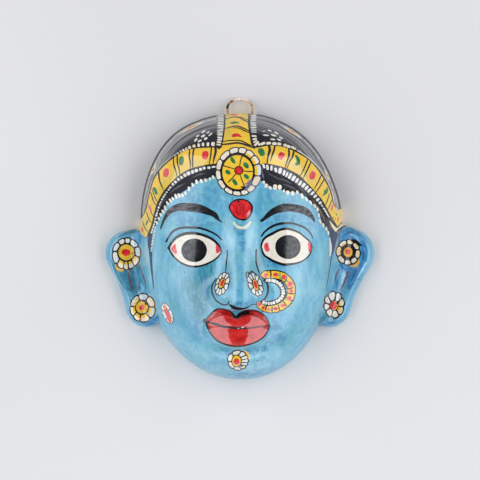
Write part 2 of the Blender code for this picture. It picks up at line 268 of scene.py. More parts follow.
def carving(x, y):
    across, down = x / HEAD_HALF_WIDTH, (MIDDLE_Y - y) / CHIN_REACH
    lift = sum(mound(feature, across, down) for feature in MOUNDS)
    lift = lift + sum(mound(eye, across, down, 3.0) for eye in EYE_MOUNDS)
    lift = lift + lips(across, down) + mound(POUT, across, down)
    raised = [nose_ridge(across, down)] + [mound(wing, across, down, 2.1) for wing in WINGS]
    lift = lift + sum(part**3 for part in raised) ** (1 / 3)
    return lift * DOME_HEIGHT


def head_share(x, y):
    """Direction from the head's middle, and the share of the way out to its outline."""
    angle = np.arctan2(y - MIDDLE_Y, x)
    return angle, np.hypot(x, y - MIDDLE_Y) / head_reach(angle)


def face_height(x, y, share):
    return dome(share, DOME_HEIGHT) + carving(x, y) * np.minimum(1, (1 - share) / CARVING_FADE)


def head_height(x, y):
    return face_height(x, y, np.minimum(1, head_share(x, y)[1]))


def head_ring(share, middle_y=0.0):
    """Points round the head's outline, at a share of its reach."""
    angle = np.linspace(-math.pi, math.pi, OUTLINE_POINTS, endpoint=False)
    reach = head_reach(angle) * share
    return np.stack([reach * np.cos(angle), middle_y + reach * np.sin(angle)], 1)


def hollow_height(x, y, share):
    behind_nose = mound(INNER_NOSE, x / HEAD_HALF_WIDTH, (MIDDLE_Y - y) / CHIN_REACH)
    return dome(share, DOME_HEIGHT - WALL) + behind_nose * DOME_HEIGHT


def lobes(side):
    """Middles of an ear's upper and lower lobes."""
    upper = np.array([side * (EAR_REACH - UPPER_LOBES[side]), MIDDLE_Y - EAR_DROP])
    return upper, upper + np.array([-side * LOWER_LOBES_INWARD[side], -LOWER_LOBE_DROP])


def ear_depth(side, x, y, inward=1.0, shouldered=True):
    """How far inside the ear's outline these points are, and where along the ear they lie.

    With inward 0 the side of the outline that lies in the head doesn't count.
    """
    upper, lower = lobes(side)
    best = np.full(np.shape(x), -1.0)
    place = np.zeros(np.shape(x))
    for along in np.linspace(0, 1, EAR_STEPS):
        radius = UPPER_LOBES[side] + (LOWER_LOBE - UPPER_LOBES[side]) * along
        radius -= EAR_WAIST * math.sin(math.pi * along)
        middle = upper + (lower - upper) * along
        aside = side * (x - middle[0])
        depth = radius - np.hypot(np.where(aside < 0, inward * aside, aside), y - middle[1])
        place = np.where(depth > best, along, place)
        best = np.maximum(depth, best)
    if shouldered:
        step_in, step_up, radius = SHOULDERS[side]
        aside = side * (x - upper[0]) + step_in
        depth = radius - np.hypot(np.where(aside < 0, inward * aside, aside), y - upper[1] - step_up)
        best = SHOULDER_BLEND * np.logaddexp(best / SHOULDER_BLEND, depth / SHOULDER_BLEND)
    return best, place


def ear_height(side, x, y):
    depth, along = ear_depth(side, x, y)
    depth = np.maximum(0, depth)
    rise = np.sqrt(1 - (1 - np.minimum(1, depth / EAR_ROUND)) ** 2)
    inner = np.clip((ear_depth(side, x, y, shouldered=False)[0] - EAR_CUP_START) / EAR_CUP_SLOPE, 0, 1)
    fullness = LOBE_CUP + (1 - LOBE_CUP) * np.sin(math.pi * along)
    cup = inner**2 * (3 - 2 * inner) * fullness
    return EAR_EDGE + (EAR_THICKNESS - EAR_EDGE) * rise - EAR_CUP * cup + ear_root(side, x, y)


def ear_root(side, x, y):
    """How much an ear rises towards the head's wall, which it meets in a soft hollow."""
    away = (head_share(x, y)[1] - 1) * HEAD_HALF_WIDTH + ROOT_INSIDE
    near = np.clip(1 - away / (ROOT_INSIDE + ROOT_OUTSIDE), 0, 1)
    clear = np.clip(ear_depth(side, x, y, 0.0)[0] / ROOT_EDGE, 0, 1)
    return ROOT_RISE * near**2 * clear**2 * (3 - 2 * clear)


def ear_outline(side, count, inset=0.0):
    """Points round an ear's outline, found by halving along rays from its middle."""
    upper, lower = lobes(side)
    middle = (upper + lower) / 2
    lean = math.atan2(upper[1] - lower[1], upper[0] - lower[0])
    long = np.linalg.norm(upper - lower) / 2 + UPPER_LOBES[side]
    even = np.linspace(0, 2 * math.pi, count, endpoint=False)
    angle = lean + np.arctan2(LOWER_LOBE * np.sin(even), long * np.cos(even))
    near, far = np.zeros(count), np.full(count, 2 * long)
    for _ in range(HALVINGS):
        half = (near + far) / 2
        x, y = middle[0] + half * np.cos(angle), middle[1] + half * np.sin(angle)
        inside = ear_depth(side, x, y)[0] > inset
        near, far = np.where(inside, half, near), np.where(inside, far, half)
    return np.stack([middle[0] + near * np.cos(angle), middle[1] + near * np.sin(angle)], 1)


# The dome unrolled: its steep edge is laid out flat, so that the mesh and the paint are as fine there
UNROLL_SHARES = np.sin(np.linspace(0, math.pi / 2, UNROLL_COUNT)) ** (2 / SIDE_FULLNESS)
MEAN_REACH = (HEAD_HALF_WIDTH + (CROWN_REACH + CHIN_REACH) / 2) / 2
UNROLL_STEPS = np.hypot(np.diff(UNROLL_SHARES), np.diff(dome(UNROLL_SHARES, DOME_HEIGHT)) / MEAN_REACH)
UNROLLED = np.concatenate([[0], np.cumsum(UNROLL_STEPS)])


def unroll(x, y):
    """Front-view places to places on the unrolled dome. Those past the outline go on beyond its edge."""
    angle, share = head_share(x, y)
    out = head_reach(angle) * (np.interp(share, UNROLL_SHARES, UNROLLED) + np.maximum(0, share - 1))
    return out * np.cos(angle), out * np.sin(angle)


def roll(flat_x, flat_y):
    """Places on the unrolled dome to front-view places, and the share of the way out."""
    angle = np.arctan2(flat_y, flat_x)
    share = np.interp(np.hypot(flat_x, flat_y) / head_reach(angle), UNROLLED, UNROLL_SHARES)
    out = head_reach(angle) * share
    return out * np.cos(angle), MIDDLE_Y + out * np.sin(angle), share


def project(pixels, height):
    """Pixels of the photograph to the front-view places where they meet a surface of this height."""
    pixels = np.asarray(pixels, float)
    across, up = (pixels[:, 0] - PHOTO_SIDE / 2) * PIXEL, (PHOTO_SIDE / 2 - pixels[:, 1]) * PIXEL
    x, y = across, CAMERA_Y + up
    for _ in range(PROJECTING_PASSES):
        nearer = (CAMERA_HEIGHT - height(x, y)) / (CAMERA_HEIGHT - SCALE_HEIGHT)
        x, y = across * nearer, CAMERA_Y + up * nearer
    return x, y


def between(before, start, end, after, share):
    """Places from start to end, at a share of the way, on a smooth curve that heeds its neighbours too."""
    first = (end - before) * share
    second = (2 * before - 5 * start + 4 * end - after) * share**2
    third = (3 * start - before - 3 * end + after) * share**3
    return (2 * start + first + second + third) / 2


def curve(points, closed=False, step=PAINT_STEP):
    """Points at about even steps along a smooth curve through these."""
    held = np.array(points, float)
    first, last = (held[-1:], held[:2]) if closed else (2 * held[:1] - held[1:2], 2 * held[-1:] - held[-2:-1])
    ends = np.vstack([first, held, last])
    found = []
    for before, start, end, after in zip(ends, ends[1:], ends[2:], ends[3:]):
        count = max(1, round(math.dist(start, end) / step))
        found.append(between(before, start, end, after, np.arange(count)[:, None] / count))
    if not closed:
        found.append(held[-1:])
    return np.vstack(found)


def directions(line):
    ahead = np.gradient(line, axis=0)
    return ahead / np.maximum(1e-9, np.linalg.norm(ahead, axis=1))[:, None]


def lengths(line):
    return np.concatenate([[0], np.cumsum(np.linalg.norm(np.diff(line, axis=0), axis=1))])


def unevenness(count, size):
    """A smooth closed swing of about this size, different each time."""
    turn = np.linspace(0, 2 * math.pi, count, endpoint=False)
    swing = np.zeros(count)
    for wave in range(2, UNEVEN_WAVES + 2):
        swing = swing + np.cos(wave * turn + dice.uniform(0, 7)) * dice.uniform(0.4, 1) / wave**0.5
    return size * swing / math.sqrt(UNEVEN_WAVES)


def places_along(line, gap, loose):
    """Places about a gap apart along the line, each with the line's direction there."""
    along, ahead = lengths(line), directions(line)
    for at in np.arange(gap / 2, along[-1], gap):
        at = at + dice.uniform(-loose, loose) * gap
        yield [np.array([np.interp(at, along, part[:, k]) for k in (0, 1)]) for part in (line, ahead)]


def ribbon(line, widths, uneven):
    """Outline of a brush stroke along the line, whose width changes from its start to its end as listed."""
    ahead = directions(line)
    aside = np.stack([-ahead[:, 1], ahead[:, 0]], 1)
    along = lengths(line)
    half = np.interp(along / along[-1], np.linspace(0, 1, len(widths)), widths) / 2
    left = line + aside * (half * (1 + unevenness(len(line), uneven)))[:, None]
    right = line - aside * (half * (1 + unevenness(len(line), uneven)))[:, None]
    tips = line[0] - ahead[0] * half[0], line[-1] + ahead[-1] * half[-1]
    return np.vstack([left, tips[1], right[::-1], tips[0]])


def full_circle(count, fullness):
    """Places across and down of a circle's points, which fill its corners more with a larger fullness."""
    angle = np.linspace(0, 2 * math.pi, count, endpoint=False)
    places = np.stack([np.cos(angle), np.sin(angle)])
    return np.sign(places) * np.abs(places) ** (2 / fullness)


def blob(middle, reach, turn, fullness, uneven):
    """Outline of a dab of paint: an ellipse that isn't quite even."""
    count = max(10, round(2 * math.pi * max(reach) / PAINT_STEP))
    across, down = full_circle(count, fullness)
    swell = 1 + unevenness(count, uneven)
    outline = np.stack([across * reach[0] * swell, down * reach[1] * swell], 1)
    return turned(outline, turn) + np.array(middle, float)


def turned(points, turn):
    """Points turned clockwise in the photograph, by degrees."""
    cosine, sine = math.cos(math.radians(turn)), math.sin(math.radians(turn))
    return points @ np.array([[cosine, sine], [-sine, cosine]])


class Canvas:
    """Painted shapes in the order that they were painted, each an outline on a flat domain with its paint."""

    def __init__(self, place):
        self.place = place
        self.outlines = []
        self.paints = []

    def fill_flat(self, outline, paint):
        x, y = outline[:, 0], outline[:, 1]
        area = np.sum(x * np.roll(y, -1) - y * np.roll(x, -1))
        self.outlines.append(outline if area > 0 else outline[::-1])
        self.paints.append(paint)

    def fill(self, pixels, paint):
        self.fill_flat(np.stack(self.place(pixels), 1), paint)

    def shape(self, points, paint):
        self.fill(curve(points, closed=True), paint)

    def stroke(self, points, widths, paint="black", uneven=0.08):
        self.fill(ribbon(curve(points), widths, uneven), paint)

    def strokes(self, rows):
        for points, widths in rows:
            self.stroke(points, widths)

    def dab(self, middle, reach, paint, turn=0.0, fullness=2.0, uneven=0.05):
        self.fill(blob(middle, reach, turn, fullness, uneven), paint)

    def dabs(self, rows, paint, fullness, uneven, grown=(1, 1)):
        """Dabs from rows of their middle, reach along, reach across and turn."""
        for middle, long, wide, turn in rows:
            self.dab(middle, (long * grown[0], wide * grown[1]), paint, turn, fullness, uneven)

    def beads(self, points, gap, reach, paint, lean, fullness, loose):
        """Dabs along a line, a gap apart, with their reach along the line and across it."""
        for middle, way in places_along(curve(points), gap, loose):
            turn = math.degrees(math.atan2(way[1], way[0])) + lean
            grown = np.array(reach) * (1 + dice.uniform(-loose, loose, 2))
            self.dab(middle, grown, paint, turn + dice.uniform(-90, 90) * loose, fullness)

    def rim_stroke(self, start, end, share, widths, paint, uneven):
        """A stroke along the head's outline, between two directions, with its widths in millimetres."""
        ways = np.radians(np.linspace(start, end, max(8, round(abs(end - start) * 2))))
        out = head_reach(ways) * np.interp(share, UNROLL_SHARES, UNROLLED)
        out = out + unevenness(len(ways), RIM_STROKE_SWAY)
        line = np.stack([out * np.cos(ways), out * np.sin(ways)], 1)
        self.fill_flat(ribbon(line, np.array(widths) * MM, uneven), paint)

    def hatch(self, points, gap, long, width, paint, lean):
        """Short thin brush marks along a line, dry and uneven."""
        for middle, way in places_along(curve(points), gap, 0.4):
            middle = middle + dice.uniform(-0.3, 0.3, 2)
            half = turned(way[None], lean + dice.uniform(-15, 15))[0] * long * dice.uniform(0.6, 1.1) / 2
            self.stroke((middle - half, middle + half), (width * 0.6, width, width * 0.4), paint, 0.25)

    def petal(self, inner, outer, start, end, turn, paint, grown, fullness=3.2):
        """A rounded wedge between two ellipses, given by middle and reach, and two directions in degrees."""
        across, down = full_circle(PETAL_POINTS, fullness)
        way = np.radians((start + end) / 2 + across * (end - start) / 2)
        out = (1 + down) / 2
        ways = np.stack([np.cos(way), np.sin(way)], 1)
        near = turned(ways * inner[2:], turn) + inner[:2]
        far = turned(ways * outer[2:], turn) + outer[:2]
        outline = near + (far - near) * out[:, None]
        middle = outline.mean(0)
        away = outline - middle
        radius = np.linalg.norm(away, axis=1, keepdims=True)
        swell = 1 + unevenness(PETAL_POINTS, PETAL_UNEVENNESS)[:, None] + grown / radius
        self.fill(middle + away * swell, paint)

    def petals(self, inner, outer, ways, kinds, turn=0.0, line=0.6, dark="black", fullness=3.2):
        """Petals in dark outlines. A letter names each one's paint, and a capital adds a yellow root."""
        inner, outer = np.array(inner, float), np.array(outer, float)
        names = {"c": "cream", "w": "white", "b": "cold", "y": "warm"}
        ends = list(ways[1:]) + [ways[0] + 360]
        spans = list(zip(ways, ends, kinds))
        for start, end, _ in spans:
            self.petal(inner, outer, start, end, turn, dark, line, fullness)
        for start, end, kind in spans:
            self.petal(inner, outer, start, end, turn, names[kind.lower()], -line, fullness)
            if kind.isupper():
                self.petal(inner, (inner + outer) / 2, start, end, turn, "yellow", -line * 0.9)

    def heart(self, middle, reach, core_middle, core, turn=0.0, ring=1.0, paint="yellow"):
        """A dark ring round a yellow heart with a red core."""
        reach = np.array(reach)
        self.dab(middle, reach + ring, "black", turn, uneven=0.03)
        self.dab(middle, reach, paint, turn, uneven=0.03)
        self.dab(core_middle, core, "red", turn, uneven=0.08)


# Hair and headdress, in pixels
HAIRLINE = (
    (149.5, 240), (153, 231), (157.5, 222), (162, 212), (168, 203.5), (176, 196.5), (188.5, 188.5),
    (197, 182), (214, 177), (238, 172), (263, 182), (272, 187.5), (288, 191.5), (302, 194), (311, 202.5),
    (318.5, 212.5), (323, 225), (328.5, 232), (330.5, 249), (330.5, 256),
)
CROWN_SIDES = (
    ((225, 104), (225, 115), (224.5, 125.6), (223, 137.8), (221, 146)),
    ((249.1, 104), (249.1, 115), (248.9, 124), (250.3, 133.3), (251.6, 142.4), (254.4, 148)),
)
LEFT_TOP = (
    (224, 142), (222.3, 144.8), (219.6, 146.2), (214, 146.7), (199, 147.5), (191.5, 148.4), (184.6, 150.2),
    (176, 155.5), (167, 162.5), (160, 169.5), (154.5, 177.5), (151, 187), (148.3, 198), (146, 209),
    (141, 219),
)
LEFT_LOW = (
    (226, 163.8), (216, 164.2), (206.8, 165.4), (199.1, 166.9), (191.5, 168.9), (184.6, 172.3), (178, 177),
    (170, 184.5), (163, 193.3), (158, 202.5), (155, 211.5), (151.8, 225), (147.5, 235.3),
)
LEFT_END = (
    (141, 219), (139, 220), (138.3, 226), (136.7, 232.2), (140.5, 233.6), (145.1, 236.8), (147.5, 235.3),
)
RIGHT_TOP = (
    (250.8, 137), (252.5, 144.3), (254, 146.4), (257, 147), (262, 146.2), (268.8, 144.9), (276, 145.2),
    (284, 146.6), (291, 149), (300, 153.5), (310, 160.2), (318, 169.2), (325, 180), (330.3, 190.6),
    (333.5, 203.6), (336.6, 208.5), (341.5, 209),
)
RIGHT_LOW = (
    (250, 163.6), (262.6, 163.9), (269, 164.5), (276.5, 166), (284.8, 168.4), (293.2, 172.3), (299.4, 176.1),
    (307, 183.6), (316.5, 194), (322, 201), (327, 209.5), (332, 218.5), (337.3, 227.2),
)
RIGHT_END = ((337.3, 227.2), (341.3, 222.6), (344.5, 221), (342.4, 214), (341.5, 209))
LEFT_SIDEBURN = ((150.5, 234), (149.8, 243), (150.6, 253), (151.4, 266), (152.8, 280), (153.8, 289))
RIGHT_SIDEBURN = ((335.6, 232), (334.6, 244), (332, 255), (330.2, 265), (328.7, 275), (326.2, 290))

# Face, in pixels
LEFT_BROW = (
    (160, 228.6), (162.3, 220.6), (166.1, 212.2), (171.5, 206.8), (179.1, 203.4), (190.6, 203),
    (200.6, 204.5), (209, 208.4), (216.6, 213), (219.7, 219.1), (222.7, 222.9), (216.6, 219.8), (212, 216.4),
    (205.9, 214.5), (198.3, 212.6), (190.6, 211.8), (179.9, 211), (173.8, 212.2), (168.4, 216),
    (164.6, 221.4), (161.5, 228.3),
)
RIGHT_BROW = (
    (259.8, 221), (263.7, 216.8), (267.5, 212.2), (272.8, 208), (280.5, 204.5), (288.1, 203.4),
    (297.3, 204.5), (305, 206.8), (310.3, 210.7), (314.2, 217.5), (314.8, 222.9), (312.6, 220.2),
    (309.6, 217.9), (303.5, 214.5), (295.8, 212.2), (286.6, 211.8), (279, 213), (272.8, 215.2),
    (266.7, 219.1), (262.1, 221.8),
)
LEFT_FOLD = (
    (166.3, 241.6), (168.4, 237.4), (172.2, 232.1), (178.4, 228.6), (186, 227.5), (196.7, 227.8),
    (202.8, 228.8), (210.5, 231.7), (216.6, 235.1), (221.8, 239.9),
)
RIGHT_FOLD = (
    (261.2, 236.3), (264.4, 232.1), (269.8, 227.8), (275.9, 224.8), (283.6, 223.2), (291.2, 223.2),
    (298.9, 225.2), (305.7, 228.5), (310.3, 233), (312.8, 238.2),
)
LEFT_UPPER_LID = (
    (168.4, 247.8), (172.2, 242), (175.8, 238), (180.7, 235.1), (186.8, 233.4), (193.7, 233.2),
    (201.3, 234.6), (209.7, 237.8), (215.1, 241.5), (219.4, 246.6), (221.4, 252),
)
LEFT_LOWER_LID = (
    (168.4, 247.8), (172.2, 254.3), (176.8, 259.6), (183, 263.8), (190.6, 266.3), (198.3, 266.3),
    (205.9, 264.2), (213.6, 260.4), (218.2, 256.6), (221.4, 252),
)
RIGHT_UPPER_LID = (
    (261, 246.5), (262.9, 240.5), (266.7, 236.7), (272.8, 233.4), (279, 230.2), (285.1, 228.8),
    (291.2, 229.5), (298.9, 232.6), (304.2, 236.7), (309.6, 241.6), (311.9, 247.6),
)
RIGHT_LOWER_LID = (
    (261, 246.5), (263.7, 254.3), (268.3, 258.1), (274.4, 261.5), (282, 264.2), (286.6, 264.6),
    (294.3, 263.6), (301.2, 261.6), (306.5, 258.1), (310.3, 253.5), (311.9, 247.6),
)
LIPS_UPPER = (
    (205.4, 320.6), (211.2, 313.7), (215.8, 309.9), (220.4, 308.9), (226.5, 310), (231.1, 312.3),
    (236.1, 317.6), (238.8, 314.4), (243.3, 311.6), (249.5, 310.2), (257.1, 311.4), (263.2, 314.4),
    (267.1, 319), (269.6, 325.6),
)
LIPS_LOWER = (
    (205.4, 320.6), (207, 325.5), (210.4, 333.2), (215.8, 339.3), (222.7, 343.3), (231.1, 346), (238, 346.4),
    (245.6, 345.6), (254.8, 342.5), (262.5, 337.9), (267.1, 331.8), (269.6, 325.6),
)
MOUTH_LINE = (
    (205, 321.3), (215, 324), (222.7, 326.5), (230.3, 327.7), (241.8, 328.2), (249.5, 328.1), (257.1, 327),
    (264.8, 325.9), (269.5, 325.6),
)


def band(top, end, low):
    """A closed outline from three lines, each of which ends where the next one starts or ends."""
    return np.vstack([curve(top), curve(end, step=1.5)[1:-1], curve(low)[::-1]])


def paint_hair(canvas):
    """Hair from the hairline out past the head's edge, the sideburns, and streaks that are partly dry brush
    marks and partly painted highlights.
    """
    sky = np.radians(np.linspace(4, 176, 60))
    far = 1.2 * head_reach(sky) * UNROLLED[-1]
    edge = np.stack([far * np.cos(sky), far * np.sin(sky)], 1)
    hairline = np.stack(canvas.place(curve(HAIRLINE)), 1)
    canvas.fill_flat(np.vstack([hairline, edge]), "hair")
    canvas.stroke(LEFT_SIDEBURN, (5.5, 4.0, 2.8, 2.2, 1.5, 0.9), "navy")
    temple = (
        (328.6, 231), (331.8, 228), (335.6, 232.1), (338, 233.4), (336.6, 240), (333.6, 248), (331, 252),
        (330, 243.6), (329.4, 237),
    )
    canvas.shape(temple, "navy")
    canvas.stroke(RIGHT_SIDEBURN, (1.8, 2.0, 1.5, 1.0, 0.8, 0.6), "navy")
    # Grey, slate and brown streaks: partly dry brush marks, partly painted highlights
    for line, paint in (
        (((262.5, 168), (262, 173), (264, 179)), "slate"),
        (((266, 171), (271, 175), (278, 178)), "hair_grey"),
        (((276, 178), (284, 180), (292, 184)), "hair_grey"),
        (((283, 184), (291, 187), (298, 191)), "hair_grey"),
        (((296, 184), (302, 190), (309, 198)), "hair_grey"),
        (((310, 196), (316, 204), (322, 214), (326, 224)), "hair_brown"),
        (((318, 210), (322.6, 219), (327, 227)), "hair_grey"),
        (((192, 178), (199, 174.6), (207, 173)), "hair_grey"),
        (((170, 193), (178, 187), (186, 183)), "hair_grey"),
        (((158, 212), (162, 203), (168, 196)), "hair_grey"),
    ):
        canvas.stroke(line, (0.4, 1.5, 1.8, 0.4), paint, 0.3)


def paint_hair_jewels(canvas):
    """White dabs beside the crown's band, and a dotted line with rosettes near the edge, on a grey band of
    painted sheen.
    """
    left = (
        ((203.5, 131.7), 2.4, 1.2, -32), ((208, 132.4), 2.0, 1.0, -30), ((197.7, 135.9), 2.0, 1.0, -26),
        ((203.1, 135.9), 2.4, 1.6, -30), ((210.3, 134.4), 2.6, 1.0, -38), ((205.7, 138.6), 2.0, 1.6, -30),
        ((195.8, 139.8), 2.3, 1.3, -48), ((199.6, 140.9), 2.3, 1.3, -26),
    )
    right = (
        ((263.7, 131.3), 1.6, 0.6, -12), ((269.8, 130.6), 2.2, 0.9, 24), ((276.3, 132.9), 2.4, 0.9, 28),
        ((266, 135.2), 3.1, 1.0, 2), ((273.6, 135.2), 2.9, 1.3, 20), ((280.9, 137.8), 2.2, 1.1, 28),
        ((272.8, 139.4), 2.6, 1.1, 6), ((279, 139.8), 2.4, 1.1, 26),
    )
    canvas.dabs(left + right, "white", 2.4, 0.1, (0.95, 0.72))
    # Each side: a grey band of painted sheen along the outline, and the dotted line on it
    for start, end in ((103, 178), (72, 6)):
        canvas.rim_stroke(start, end, 0.97, (0.4, 1.4, 1.8, 2.0, 1.8, 1.6, 1.2), "rim_grey", 0.3)
        steps = np.linspace(start, end, 34)
        for first, last in zip(steps[:-1], steps[1:]):
            share = 0.969 + dice.uniform(-0.006, 0.006)
            canvas.rim_stroke(first, first + 0.8 * (last - first), share, (0.2, 0.7, 0.3), "pearl", 0.3)
    # A thinner grey band of painted sheen on the right
    canvas.rim_stroke(30, 13, 0.95, (0.3, 0.6, 0.7, 0.5), "rim_grey", 0.3)
    for start, end in ((123.5, 108.5), (68.5, 54.5), (150, 143), (34, 27)):
        canvas.rim_stroke(start, end, 0.964, (0.6, 3.0, 4.2, 3.0, 0.6), "pearl", 0.1)
        inward = 0.2 * (end - start)
        canvas.rim_stroke(start + inward, end - inward, 0.964, (0.4, 1.8, 2.4, 1.6, 0.4), "yellow", 0.15)
        canvas.rim_stroke(start + 1.7 * inward, end - 1.7 * inward, 0.965, (0.4, 1.2, 1.0, 0.4), "red", 0.2)


def paint_hairline_beads(canvas):
    """Cream beads along the hairline, and the pale ends of both rows."""
    left = (
        ((213.2, 177.2), 2.0, 1.2, 60), ((210, 178.9), 1.8, 1.0, 76), ((205.7, 180.3), 2.1, 1.2, 66),
        ((201.2, 181.1), 2.2, 1.3, 72), ((196.6, 181.8), 2.3, 1.3, 78), ((192.7, 184.9), 2.3, 1.1, 62),
        ((188.9, 188.7), 2.4, 1.2, 80), ((185.5, 193.3), 2.0, 1.1, 66), ((182.5, 195.4), 1.8, 1.5, 60),
        ((179, 195.6), 2.4, 1.5, 66), ((175.9, 196.4), 2.7, 1.3, 70), ((172.8, 198.7), 2.0, 1.2, 60),
        ((170.5, 200.6), 2.4, 1.2, 52), ((167.5, 203.3), 2.4, 1.2, 64), ((165.2, 208), 2.7, 1.2, 70),
        ((163, 211.6), 2.3, 1.2, 60), ((160.8, 214.9), 2.1, 1.2, 66), ((158.8, 218.6), 1.9, 1.1, 60),
        ((156.8, 222.8), 1.9, 1.1, 64),
    )
    right = (
        ((263.7, 182.2), 1.6, 1.4, 90), ((266.3, 185.7), 2.1, 2.0, 90), ((270.2, 187.8), 2.0, 1.6, 60),
        ((275.1, 187.2), 2.9, 2.4, 90), ((279.8, 187.2), 2.6, 2.0, 90), ((283.9, 190.8), 1.5, 1.0, 100),
        ((287.8, 192.6), 2.3, 1.7, 96), ((292.7, 193.3), 2.4, 1.7, 90), ((297.3, 192.2), 1.9, 1.3, 70),
        ((302.2, 196), 3.0, 1.3, 74), ((306.5, 199.1), 2.7, 1.1, 62), ((310.7, 202.5), 2.4, 1.1, 58),
        ((314.9, 205.9), 2.4, 1.2, 60), ((317.6, 209.4), 2.2, 1.2, 72), ((319, 215.4), 2.3, 1.1, 84),
        ((320.2, 221.3), 2.5, 1.2, 66), ((323.4, 225.2), 2.3, 1.1, 80), ((326.4, 228.8), 2.3, 1.0, 78),
        ((328.4, 232.8), 2.1, 1.0, 80),
    )
    canvas.dabs(left + right, "cream", 2.5, 0.12, (0.95, 0.9))
    canvas.beads(
        ((155.6, 227), (153.4, 236), (152, 244), (151.2, 253)), 3.2, (1.5, 0.75), "pearl", 20, 2.4, 0.2,
    )
    canvas.stroke(
        ((329.6, 238), (330.4, 243), (330.6, 249), (330.2, 256)), (1.0, 2.2, 2.4, 1.2), "pearl", 0.3,
    )


def paint_tiara(canvas):
    """The yellow band with its dark bars and coloured spots."""
    canvas.fill(band(LEFT_TOP, LEFT_END, LEFT_LOW), "yellow")
    canvas.fill(band(RIGHT_TOP, RIGHT_END[::-1], RIGHT_LOW), "yellow")
    behind_medallion = (
        (221, 141.5), (217, 147.5), (213, 156), (214, 164.4), (238, 174), (263, 164.5), (263, 146.6),
        (252, 142),
    )
    canvas.fill(np.array(behind_medallion), "yellow")
    canvas.stroke(LEFT_TOP[2:], (1.5, 1.3, 1.3, 1.0, 0.8))
    canvas.stroke(RIGHT_TOP[1:-2], (1.5, 1.3, 1.5, 1.3, 0.9))
    canvas.stroke(LEFT_LOW[1:], (1.6, 1.5, 1.3, 1.2))
    canvas.stroke(RIGHT_LOW[1:], (1.5, 1.4, 1.3, 1.3))
    bars = (
        (((211.5, 147), (210.7, 155.4), (209.2, 164.6)), (1.6, 1.5, 0.9)),
        (((215.3, 147), (215.7, 151.6), (214.2, 157.7), (213, 163.9)), (2.6, 2.5, 1.9, 0.7)),
        (((189.8, 149.3), (189.3, 156.2), (190.3, 162.3), (190.6, 168)), (1.2, 1.7, 1.5, 0.9)),
        (((193.8, 148.6), (192.7, 156.2), (192.7, 167)), (1.8, 1.7, 1.3)),
        (((173.2, 157.8), (174, 165.4), (175.9, 171.5), (177, 177)), (1.2, 1.4, 1.3, 0.7)),
        (((177.3, 155), (177.4, 162.3), (179, 168.4), (180, 175)), (1.3, 1.6, 1.4, 0.8)),
        (((158.6, 172.4), (159.5, 179.9), (161.4, 185.3), (164, 191)), (1.8, 1.6, 1.2, 0.7)),
        (((150.7, 192), (153, 199.8), (156.3, 205.6)), (0.9, 1.2, 0.7)),
        (((151.8, 188), (154, 195.2), (157.6, 202.6)), (0.7, 1.0, 0.6)),
        (((148.6, 206), (151, 212), (153.6, 217)), (0.7, 1.0, 0.6)),
        (((146.4, 212), (149, 219), (152.4, 224)), (0.7, 1.0, 0.6)),
        (((142.6, 221), (144.4, 227), (148, 232.4)), (0.7, 1.0, 0.6)),
        (((269, 145.8), (269.8, 150.1), (268.3, 155.4), (267, 163.6)), (2.8, 2.8, 1.9, 1.2)),
        (((274.8, 145.8), (274, 150.1), (272.1, 155.4), (270.4, 161.6)), (2.0, 2.0, 1.6, 0.6)),
        (((288.9, 148.6), (288.9, 155.4), (287, 161.6), (284.8, 168.4)), (2.0, 2.0, 1.4, 0.9)),
        (((293.9, 150.4), (292.7, 156.2), (289.7, 161.6), (286.8, 168.8)), (2.0, 1.9, 1.3, 0.9)),
        (((308, 158.5), (305.4, 165.4), (302.3, 172.3), (299.6, 176.6)), (1.4, 1.4, 1.2, 0.8)),
        (((311.3, 160.8), (308.8, 166.9), (305.4, 173.8), (302.6, 179.4)), (1.7, 1.5, 1.2, 0.8)),
        (((321.2, 175.4), (318, 182.2), (314.3, 188.8)), (1.4, 1.3, 0.8)),
        (((324.4, 178.8), (320.3, 186), (316.2, 192)), (1.3, 1.3, 0.8)),
        (((329.5, 193.6), (327.2, 201), (324.6, 205.8)), (0.8, 1.1, 0.7)),
        (((332, 199.6), (329.2, 206.7), (327.4, 209.6)), (0.7, 1.0, 0.6)),
    )
    canvas.strokes(bars)
    dots = (
        ((205.2, 155.1), (3.3, 4.3), 12, "red"), ((181.4, 160.8), (2.5, 4.7), 8, "green"),
        ((166, 172.7), (2.9, 4.6), 12, "rose"), ((155.3, 190.8), (1.7, 4.0), -22, "green"),
        ((150.2, 208.6), (1.1, 3.6), -16, "rose"), ((147, 222.5), (0.8, 3.2), 24, "green"),
        ((142.6, 229.6), (0.8, 2.2), -12, "rose"), ((261.4, 152), (3.1, 4.3), -26, "green"),
        ((312.5, 175.3), (3.0, 4.5), 18, "rose"), ((332.1, 207.6), (1.0, 3.6), 14, "rose"),
        ((338, 219.6), (0.7, 2.4), 10, "rose"), ((336.4, 214.4), (0.5, 1.6), -20, "green"),
        ((333.8, 217.4), (0.6, 0.7), 0, "black"), ((335.4, 219), (0.4, 0.8), 30, "black"),
    )
    for middle, reach, turn, paint in dots:
        canvas.dab(middle, reach, paint, turn, 2.3, 0.09)
    stone = (
        (277.8, 155.4), (280.4, 152), (283.4, 152.8), (284.8, 155.2), (283.2, 158.4), (281, 160),
        (279, 158.6),
    )
    canvas.shape(stone, "rose")
    canvas.shape(
        ((278, 155.4), (280.5, 152), (283.4, 152.8), (284.8, 155), (282.6, 156.8), (279.6, 157)), "red",
    )
    leaf = (
        (295, 155.2), (297.4, 155.6), (299.6, 158.6), (300.2, 162), (299, 165), (296, 165.4), (294.9, 163.8),
        (296.6, 161.6), (296, 158.4),
    )
    canvas.shape(leaf, "green")
    green_leaf = (
        (326.8, 186.6), (328.2, 189.4), (327, 193.4), (322.6, 195.8), (324, 192.6), (323.6, 190.4),
        (325.8, 189.6),
    )
    canvas.shape(green_leaf, "green")


